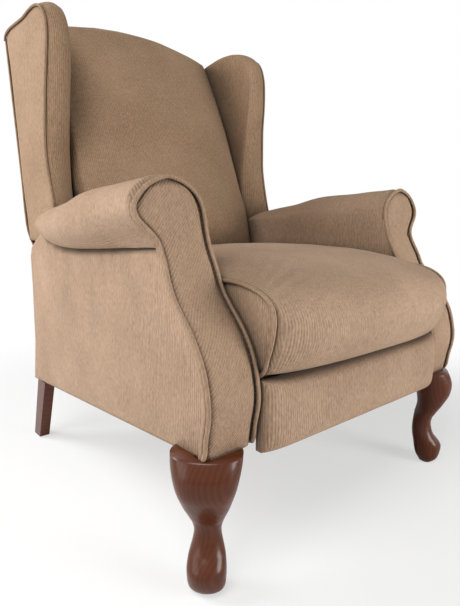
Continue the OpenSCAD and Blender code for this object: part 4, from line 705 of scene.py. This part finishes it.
# Rear lower panel. One piece of cloth over a thin board, fixed between the two side panels and
# turned in at its top and bottom edges. It stops below the swinging back.
rear_columns, rear_rows = 60, 20
rows = []
for j in range(rear_rows + 1):
    t = j / rear_rows
    edge = polyline([(0, 0.7405, 0.180), (0, 0.7185, 0.281), (0, 0.7118, 0.4075)])(t)
    row = []
    for i in range(rear_columns + 1):
        s = i / rear_columns
        rim = min(1, min(s, 1 - s) * 20) * min(1, min(t, 1 - t) * 8)
        p = Vector(((2 * s - 1) * 0.351, front_y + edge.y, edge.z))
        p.y += (0.001 + unevenness(p, 0.12, 0.0012)) * rim - 0.003 * (1 - rim)
        row.append(p)
    rows.append(row)
rows.insert(0, [p + Vector((0, -0.008, 0.002)) for p in rows[0]])
rows.append([p + Vector((0, -0.005, 0.0)) for p in rows[-1]])
rear_cover = cloth_sheet("rear_lower_cover", rows, body_velvet)
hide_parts("rear_lower_panel")
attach(rear_cover, "base")

# Seat cushion. A thick foam cushion with a rolled nose, its top and front one piece of cloth
# and each end a D-shaped piece sewn in with a welt. The foam swells the cloth between the seams.
seat_half = 0.2575
seat_middle = [(0.540, 0.349), (0.5455, 0.372), (0.5455, 0.442), (0.541, 0.492), (0.520, 0.514),
               (0.390, 0.526), (0.230, 0.532), (0.110, 0.528), (0.030, 0.516), (-0.028, 0.494),
               (-0.066, 0.464), (-0.083, 0.432), (-0.082, 0.399), (-0.066, 0.368), (-0.036, 0.351),
               (0.020, 0.3475), (0.230, 0.3475)]
seat_end = [(0.538, 0.352), (0.543, 0.374), (0.541, 0.436), (0.539, 0.478), (0.515, 0.494), (0.390, 0.499),
            (0.230, 0.497), (0.101, 0.493), (0.057, 0.494), (0.010, 0.488), (-0.021, 0.475), (-0.037, 0.456),
            (-0.038, 0.428), (-0.028, 0.389), (-0.010, 0.352), (0.040, 0.350), (0.230, 0.350)]


def closed_spline(points, steps):
    """A finer ring of points on a smooth curve through a closed ring."""
    fine = []
    for i in range(len(points)):
        a, b, c, d = (points[(i + k) % len(points)] for k in (-1, 0, 1, 2))
        fine += [spline_point(a, b, c, d, k / steps) for k in range(steps)]
    return fine


middle_ring = closed_spline([Vector((0, y, z)) for y, z in seat_middle], 6)
end_ring = closed_spline([Vector((0, y, z)) for y, z in seat_end], 6)
foam_pressure, foam_frames = 4.0, 20


def stuffed(piece, held, cap, voxel, ease):
    """Foam pressing out its cover: a cloth run on an even mesh, held at its seams, then eased."""
    scene = bpy.context.scene
    view = bpy.context.view_layer
    for other in bpy.context.selected_objects:
        other.select_set(False)
    view.objects.active = piece
    piece.select_set(True)
    remesh = piece.modifiers.new("even mesh", "REMESH")
    remesh.mode = "VOXEL"
    remesh.voxel_size = voxel
    bpy.ops.object.modifier_apply(modifier=remesh.name)
    start = [v.co.copy() for v in piece.data.vertices]
    group = piece.vertex_groups.new(name="seams")
    for v in piece.data.vertices:
        weight = held(v.co)
        if weight > 0:
            group.add([v.index], min(weight, 1.0), "REPLACE")
    cloth = piece.modifiers.new("foam", "CLOTH")
    cloth.settings.quality = 5
    cloth.settings.mass = 0.3
    cloth.settings.tension_stiffness = 18
    cloth.settings.compression_stiffness = 18
    cloth.settings.bending_stiffness = 1.2
    cloth.settings.use_pressure = True
    cloth.settings.uniform_pressure_force = foam_pressure
    cloth.settings.vertex_group_mass = "seams"
    cloth.settings.effector_weights.gravity = 0
    cloth.collision_settings.use_collision = False
    cloth.point_cache.frame_end = foam_frames
    for step in range(1, foam_frames + 1):
        scene.frame_set(step)
    shaped = piece.evaluated_get(bpy.context.evaluated_depsgraph_get()).to_mesh()
    end = [v.co.copy() for v in shaped.vertices]
    piece.modifiers.remove(cloth)
    scene.frame_set(1)
    for v, a, b in zip(piece.data.vertices, start, end):
        move = b - a
        if move.length > cap:
            move = move.normalized() * cap
        v.co = a + move
    tucks = bmesh.new()
    tucks.from_mesh(piece.data)
    for v in tucks.verts:
        ease(v)
    tucks.to_mesh(piece.data)
    tucks.free()
    smoother = piece.modifiers.new("soften", "SUBSURF")
    smoother.levels = 1
    smoother.render_levels = 1
    for face in piece.data.polygons:
        face.use_smooth = True


def seat_crown(c):
    """How far a station's section is from the end piece (0) to the full middle (1)."""
    return (1 - abs(c) ** 3.4) ** 0.62 if abs(c) < 1 else 0.0


rings = []
near_end = (0.8, 0.88, 0.93, 0.965, 0.985, 1)
stations = [-c for c in reversed(near_end)] + [k / 10 for k in range(-7, 8)] + [*near_end]
for c in stations:
    k = seat_crown(c)
    rings.append([Vector((c * (seat_half - 0.004), front_y + p.y + (q.y - p.y) * k, p.z + (q.z - p.z) * k))
                  for p, q in zip(end_ring, middle_ring)])


def shrunk(ring, share, x):
    centre = sum(ring, Vector()) / len(ring)
    return [Vector((x, centre.y + (p.y - centre.y) * share, centre.z + (p.z - centre.z) * share))
            for p in ring]


first, last = rings[0], rings[-1]
ends = [(0.02, 0.002), (0.25, 0.001), (0.5, 0.0), (0.75, 0.0), (0.94, 0.001)]
closed = [shrunk(first, share, short - seat_half) for share, short in ends] + rings
closed += [shrunk(last, share, seat_half - short) for share, short in reversed(ends)]
seat = mesh_piece("seat_cushion_cover", *skin_through(closed), body_velvet)


def seat_held(p):
    """Held along the two end seams, under the cushion and at its back."""
    if p.z < 0.352 or p.y > front_y + 0.50:
        return 1.0
    if abs(p.x) > seat_half - 0.010:
        near = min((Vector((0, p.y - front_y, p.z)) - q).length for q in end_ring[::3])
        return 1.0 if near < 0.010 else 0.35
    return 0.0


def seat_eased(v):
    """Hand-laid padding on the top and front; the underside stays flat on the deck."""
    inner = 1 - min(1, max(0.0, (abs(v.co.x) - 0.20) / 0.05))
    wave = unevenness(v.co, 0.09, 0.0022) + unevenness(v.co + Vector((3, 1, 2)), 0.035, 0.0006)
    v.co += v.normal * wave * (0.4 + 0.6 * inner) * (v.co.z > 0.36)
    v.co.z = max(v.co.z, 0.3465)


stuffed(seat, seat_held, 0.012, 0.006, seat_eased)
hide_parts("seat_cushion")
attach(seat, "seat")
for side, hand in ((1, "left"), (-1, "right")):
    seam = [Vector((side * (seat_half + 0.0005), front_y + p.y, p.z)) for p in end_ring[42:90]]
    piping(hand + "_seat_welt", seam, 0.0033, welt_velvet, "seat")

# Inside back. A tall padded cushion, crowned between the wings, that rolls over the arched top
# to the outside back. Its side edges turn in behind the wings' pads. The back and the wings get a
# darker copy of the same cloth, painted shade chosen because they look darker than the arms do,
# and their painted shade in hollows reaches further.
shade_painted_velvet = velvet("taupe velvet painted darker for shade", (0.405, 0.267, 0.166), (0.220, 0.136, 0.080), reach=0.14)
shade_painted_welt = velvet("taupe velvet welt painted darker for shade", (0.33, 0.216, 0.135), (0.20, 0.125, 0.076), 0.8)
crease = [(0.366, 0.562), (0.410, 0.558), (0.460, 0.557), (0.504, 0.559), (0.546, 0.568), (0.611, 0.590),
          (0.684, 0.628), (0.781, 0.668), (0.875, 0.706), (0.977, 0.756), (1.030, 0.785), (1.066, 0.806)]
half_width = [(0.366, 0.258), (0.560, 0.259), (0.640, 0.266), (0.720, 0.270), (1.066, 0.270)]
back_columns, back_rows = 40, 48
top_roll = ((0.816, 0.010), (0.828, 0.0155), (0.840, 0.0125), (0.847, 0.004))
rows = []
for j in range(back_rows + 1):
    v = j / back_rows
    z = 0.366 + 0.700 * v
    arch = 0.0 if v < 0.55 else (v - 0.55) / 0.45
    arch = arch * arch * (3 - 2 * arch)
    swell = 0.026 * min(1, max(0.0, (z - 0.485) / 0.09)) * (1 - 0.35 * arch)
    half = curve_value(half_width, z)
    row = []
    for i in range(back_columns + 1):
        u = 2 * i / back_columns - 1
        lifted = z + arch * 0.034 * (1 - u * u)
        bow = 1 - abs(u) ** 2.4
        y = curve_value(crease, z) - swell * bow + 0.026 * max(0.0, (abs(u) - 0.90) / 0.10) ** 1.7
        row.append(Vector((half * u, front_y + y, lifted)))
    rows.append(row)
top_row = rows[-1]
for y_back, rise in top_roll:
    row = []
    for i, p in enumerate(top_row):
        u = 2 * i / back_columns - 1
        bow = 1 - abs(u) ** 2.4
        y = front_y + y_back - 0.006 * bow * (0.847 - y_back) / 0.03
        row.append(Vector((p.x, max(y, p.y + 0.002), p.z + rise * (1 - 0.6 * u * u))))
    rows.append(row)
behind = []
for row in rows:
    z = row[0].z
    leaned = 0.593 + (min(z, 1.08) - 0.365) * 0.3365 - 0.001
    y_rear = front_y + min(0.848, max(curve_value(crease, min(z, 1.066)) + 0.030, leaned))
    behind.append([Vector((p.x * 0.97, max(y_rear, p.y + 0.001), p.z)) for p in row])


def closed_sheet(rows, behind):
    """Points and faces of a front sheet and the one behind it, joined round their edge."""
    across, down = len(rows[0]), len(rows)
    points = [p for sheet in (rows, behind) for row in sheet for p in row]
    offset = across * down
    front = grid_faces(down, across)
    rim = [j * across for j in range(down)] + [(down - 1) * across + i for i in range(1, across)]
    rim += [j * across + across - 1 for j in range(down - 2, -1, -1)] + [*range(across - 2, 0, -1)]
    rear = [tuple(k + offset for k in reversed(face)) for face in front]
    return points, front + rear + [(a, b, b + offset, a + offset) for a, b in zip(rim, rim[1:] + rim[:1])]


back = mesh_piece("inside_back_cover", *closed_sheet(rows, behind), shade_painted_velvet)


def back_held(p):
    """Held where the cover is tacked: its sides, foot, top seam and rear face."""
    z = min(p.z, 1.066)
    front = front_y + curve_value(crease, z)
    if abs(p.x) > 0.252 or p.z < 0.50 or p.y > front + 0.012 or p.z > 1.09:
        return 1.0
    return 0.0


def back_eased(v):
    """Hand-laid padding above the seat, away from the sides."""
    inner = min(1, max(0.0, (0.25 - abs(v.co.x)) / 0.08))
    wave = unevenness(v.co, 0.12, 0.0030) + unevenness(v.co + Vector((5, 2, 1)), 0.05, 0.0009)
    v.co += v.normal * inner * wave * (v.co.z > 0.5)


stuffed(back, back_held, 0.010, 0.007, back_eased)
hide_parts("back_cushion")
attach(back, "back")

# Wings. Each has a thick pad on its inner side that rolls over the front and top edge to a welt,
# and a flat covered panel outside. The pad is eased round the top with two small darts.
welt_line = [(0.588, 0.596, 0.340), (0.597, 0.632, 0.339), (0.608, 0.672, 0.340), (0.616, 0.706, 0.341),
             (0.622, 0.745, 0.341), (0.622, 0.790, 0.340), (0.619, 0.857, 0.337), (0.611, 0.925, 0.334),
             (0.607, 0.983, 0.330), (0.612, 1.018, 0.328), (0.625, 1.044, 0.328), (0.645, 1.060, 0.329),
             (0.672, 1.066, 0.331), (0.700, 1.063, 0.333), (0.735, 1.056, 0.336), (0.776, 1.053, 0.340),
             (0.812, 1.050, 0.343), (0.834, 1.042, 0.345)]
pad_edge = [(0.634, 0.596, 0.283), (0.634, 0.632, 0.283), (0.637, 0.672, 0.283), (0.638, 0.706, 0.283),
            (0.637, 0.745, 0.283), (0.632, 0.790, 0.283), (0.621, 0.857, 0.283), (0.608, 0.925, 0.283),
            (0.605, 0.983, 0.283), (0.612, 1.022, 0.284), (0.626, 1.050, 0.286), (0.648, 1.071, 0.288),
            (0.678, 1.083, 0.290), (0.708, 1.088, 0.292), (0.742, 1.089, 0.294), (0.780, 1.085, 0.296),
            (0.815, 1.078, 0.298), (0.838, 1.070, 0.300)]
pad_back = [(0.664, 0.596), (0.664, 0.632), (0.668, 0.672), (0.672, 0.706), (0.678, 0.745), (0.694, 0.790),
            (0.720, 0.857), (0.752, 0.925), (0.784, 0.983), (0.798, 1.010), (0.806, 1.025), (0.812, 1.036),
            (0.818, 1.044), (0.822, 1.050), (0.827, 1.055), (0.832, 1.058), (0.838, 1.060), (0.843, 1.058)]
pad_steps, pad_spans = 6, 8
wing_face = 0.345
wing_rear = [(0.7665, 0.537), (0.777, 0.600), (0.793, 0.693), (0.806, 0.800), (0.815, 0.900), (0.824, 0.970),
             (0.836, 1.010), (0.842, 1.030)]
wing_columns, wing_rows = 44, 72
back_lean = math.tan(math.radians(8.5))
for side, hand in ((1, "left"), (-1, "right")):
    rows = []
    for (wy, wz, wx), (ey, ez, ex), (by, bz) in zip(welt_line, pad_edge, pad_back):
        welt_at = Vector((wx, wy, wz))
        edge_at = Vector((ex, ey, ez))
        back_at = Vector((0.2735, by, bz))
        inward = back_at - edge_at
        inward.x = 0
        depth = inward.length
        inward.normalize()
        row = [welt_at + inward * 0.006 - Vector((0.002, 0, 0)), welt_at - Vector((0.003, 0, 0)),
               welt_at.lerp(edge_at, 0.22) - inward * 0.0060,
               welt_at.lerp(edge_at, 0.5) - inward * 0.0085,
               welt_at.lerp(edge_at, 0.80) - inward * 0.0062,
               edge_at + Vector((-0.0045, 0, 0)) + inward * 0.002,
               Vector((0.2735, edge_at.y, edge_at.z)) + inward * min(0.016, depth * 0.3),
               Vector((0.2725, edge_at.y, edge_at.z)) + inward * max(depth * 0.55, 0.018), back_at]
        rows.append([Vector((side * p.x, front_y + p.y, p.z)) for p in row])
    fine = spline_rows(rows, pad_steps, pad_steps)
    last = len(fine) - 1
    for j, row in enumerate(fine):
        for i, p in enumerate(row):
            dart = 0.0
            for at, reach in ((10.6 * pad_steps, 0.75), (8.6 * pad_steps, 0.5)):
                across = abs(i / (pad_spans * pad_steps) - 0.14)
                dart += math.exp(-((j - at) / 0.9) ** 2) * max(0.0, 1 - across / (0.24 * reach))
            p.y += 0.0034 * min(dart, 1) * (j < last * 0.72)
            p.z -= 0.0030 * min(dart, 1) * (j > last * 0.5)
            p += Vector((0, 1, 0)) * unevenness(p, 0.05, 0.0014) * min(1, i / 5)
    foot = [[Vector((p.x, p.y, p.z - drop)) for p in fine[0]] for drop in (0.020, 0.008)]
    tail = [[Vector((p.x, min(p.y + 0.004, front_y + 0.7622 + (p.z - drop - 0.536) * back_lean), p.z - drop))
             for p in fine[-1]] for drop in (0.003, 0.040)]
    # The wing's pad, welt and panel take the back's cloth, painted darker for shade.
    pad = cloth_sheet(hand + "_wing_pad_cover", foot + fine + tail, shade_painted_velvet)
    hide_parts(hand + "_wing_pad")
    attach(pad, "back")
    seam = [Vector((side * (x + 0.0008), front_y + y, z)) for y, z, x in welt_line]
    seam = [seam[0] - Vector((0, 0, 0.012)), *seam, seam[-1] + Vector((0, 0.008, -0.012))]
    piping(hand + "_wing_welt", seam, 0.0030, shade_painted_welt, "back")

    front = polyline(smooth_line([(x, y, z) for y, z, x in welt_line[:12]]))
    high = polyline(smooth_line([(x, y, z) for y, z, x in welt_line[11:]])
                    + [Vector((wing_face, *wing_rear[-1]))])
    rear = polyline(smooth_line([(wing_face, y, z) for y, z in wing_rear]))
    low = polyline([(0.340, 0.588, 0.596), (0.341, 0.596, 0.5835), (wing_face, 0.698, 0.5345),
                    (wing_face, *wing_rear[0])])
    rows = patch_between(low, high, front, rear, wing_columns, wing_rows)
    for j, row in enumerate(rows):
        for i, p in enumerate(row):
            s, t = i / wing_columns, j / wing_rows
            rim_share = min(1, min(s, 1 - s) * 12) * min(1, min(t, 1 - t) * 18)
            p.x = side * (p.x - 0.0022 * (1 - rim_share) + unevenness(p, 0.10, 0.0016) * rim_share)
            p.y += front_y
    hem = [[p + Vector((-side * depth, 0.001, 0.001)) for p in rows[0]] for depth in (0.034, 0.016, 0.005)]
    wing = cloth_sheet(hand + "_wing_panel_cover", hem + rows, shade_painted_velvet)
    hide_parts(hand + "_outer_wing")
    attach(wing, "back")

# Outside back. One flat panel of board covered in the wings' cloth, hung on the back's frame after
# the rest, with a welt sewn round its sides and its arched top.
panel_edge = [(0.440, 0.311), (0.500, 0.328), (0.560, 0.3445), (0.700, 0.3448), (1.028, 0.3448)]
panel_low, panel_high, panel_steps = 0.4405, 1.1165, 60
rows = []
for j in range(panel_steps + 1):
    t = j / panel_steps
    row = []
    for i in range(panel_steps + 1):
        u = 2 * i / panel_steps - 1
        top = panel_high - 0.086 * abs(u) ** 2.05
        z = panel_low + (top - panel_low) * t
        half = curve_value(panel_edge, z)
        rim = min(1, (1 - abs(u)) * 16) * min(1, min(t, 1 - t) * 16)
        lean = front_y + 0.7682 + (z - 0.536) * back_lean
        p = Vector((half * u, lean, z))
        p.y += -0.0035 + 0.0032 * rim + unevenness(p, 0.16, 0.0009) * rim
        row.append(p)
    rows.append(row)
rows.insert(0, [p + Vector((0, -0.004, 0.001)) for p in rows[0]])
rows.append([p + Vector((0, -0.0045, -0.001)) for p in rows[-1]])
# The outside back and its welt take the same cloth, painted darker for shade.
outside = cloth_sheet("outside_back_cover", rows, shade_painted_velvet)
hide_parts("outside_back_panel")
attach(outside, "back")
trim = [r[0] for r in rows[1:-1:4]] + rows[-2][::4] + [r[-1] for r in rows[-2:0:-4]]
piping("outside_back_welt", [p + Vector((0, -0.0015, 0)) for p in trim], 0.0028, shade_painted_welt, "back")

# Leg rest. A padded board covered in the body's cloth, with softly rounded edges. It hangs upright
# under the seat's nose, and the linkage swings it up and level.
rest_half, rest_low, rest_high = 0.2585, 0.2225, 0.3435
rest_columns, rest_rows = 80, 32
rows = []
for j in range(rest_rows + 1):
    v = 2 * j / rest_rows - 1
    row = []
    for i in range(rest_columns + 1):
        u = 2 * i / rest_columns - 1
        su = math.copysign(1 - (1 - abs(u)) ** 1.8, u)
        sv = math.copysign(1 - (1 - abs(v)) ** 1.35, v)
        plump = (1 - abs(su) ** 14) ** 0.5 * (1 - abs(sv) ** 6) ** 0.5 if abs(su) < 1 and abs(sv) < 1 else 0.0
        p = Vector((su * rest_half * (0.9985 + 0.0015 * plump), 0,
                    (rest_low + rest_high) / 2 + sv * (rest_high - rest_low) / 2))
        p.y = front_y - 0.0135 - 0.0270 * plump + unevenness(p, 0.08, 0.0016) * plump
        row.append(p)
    rows.append(row)
board_side = [[Vector((p.x, front_y - 0.0006, p.z)) for p in row] for row in rows]
rest = mesh_piece("leg_rest_cover", *closed_sheet(rows, board_side), body_velvet)
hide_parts("footrest_pad")
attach(rest, "footrest")
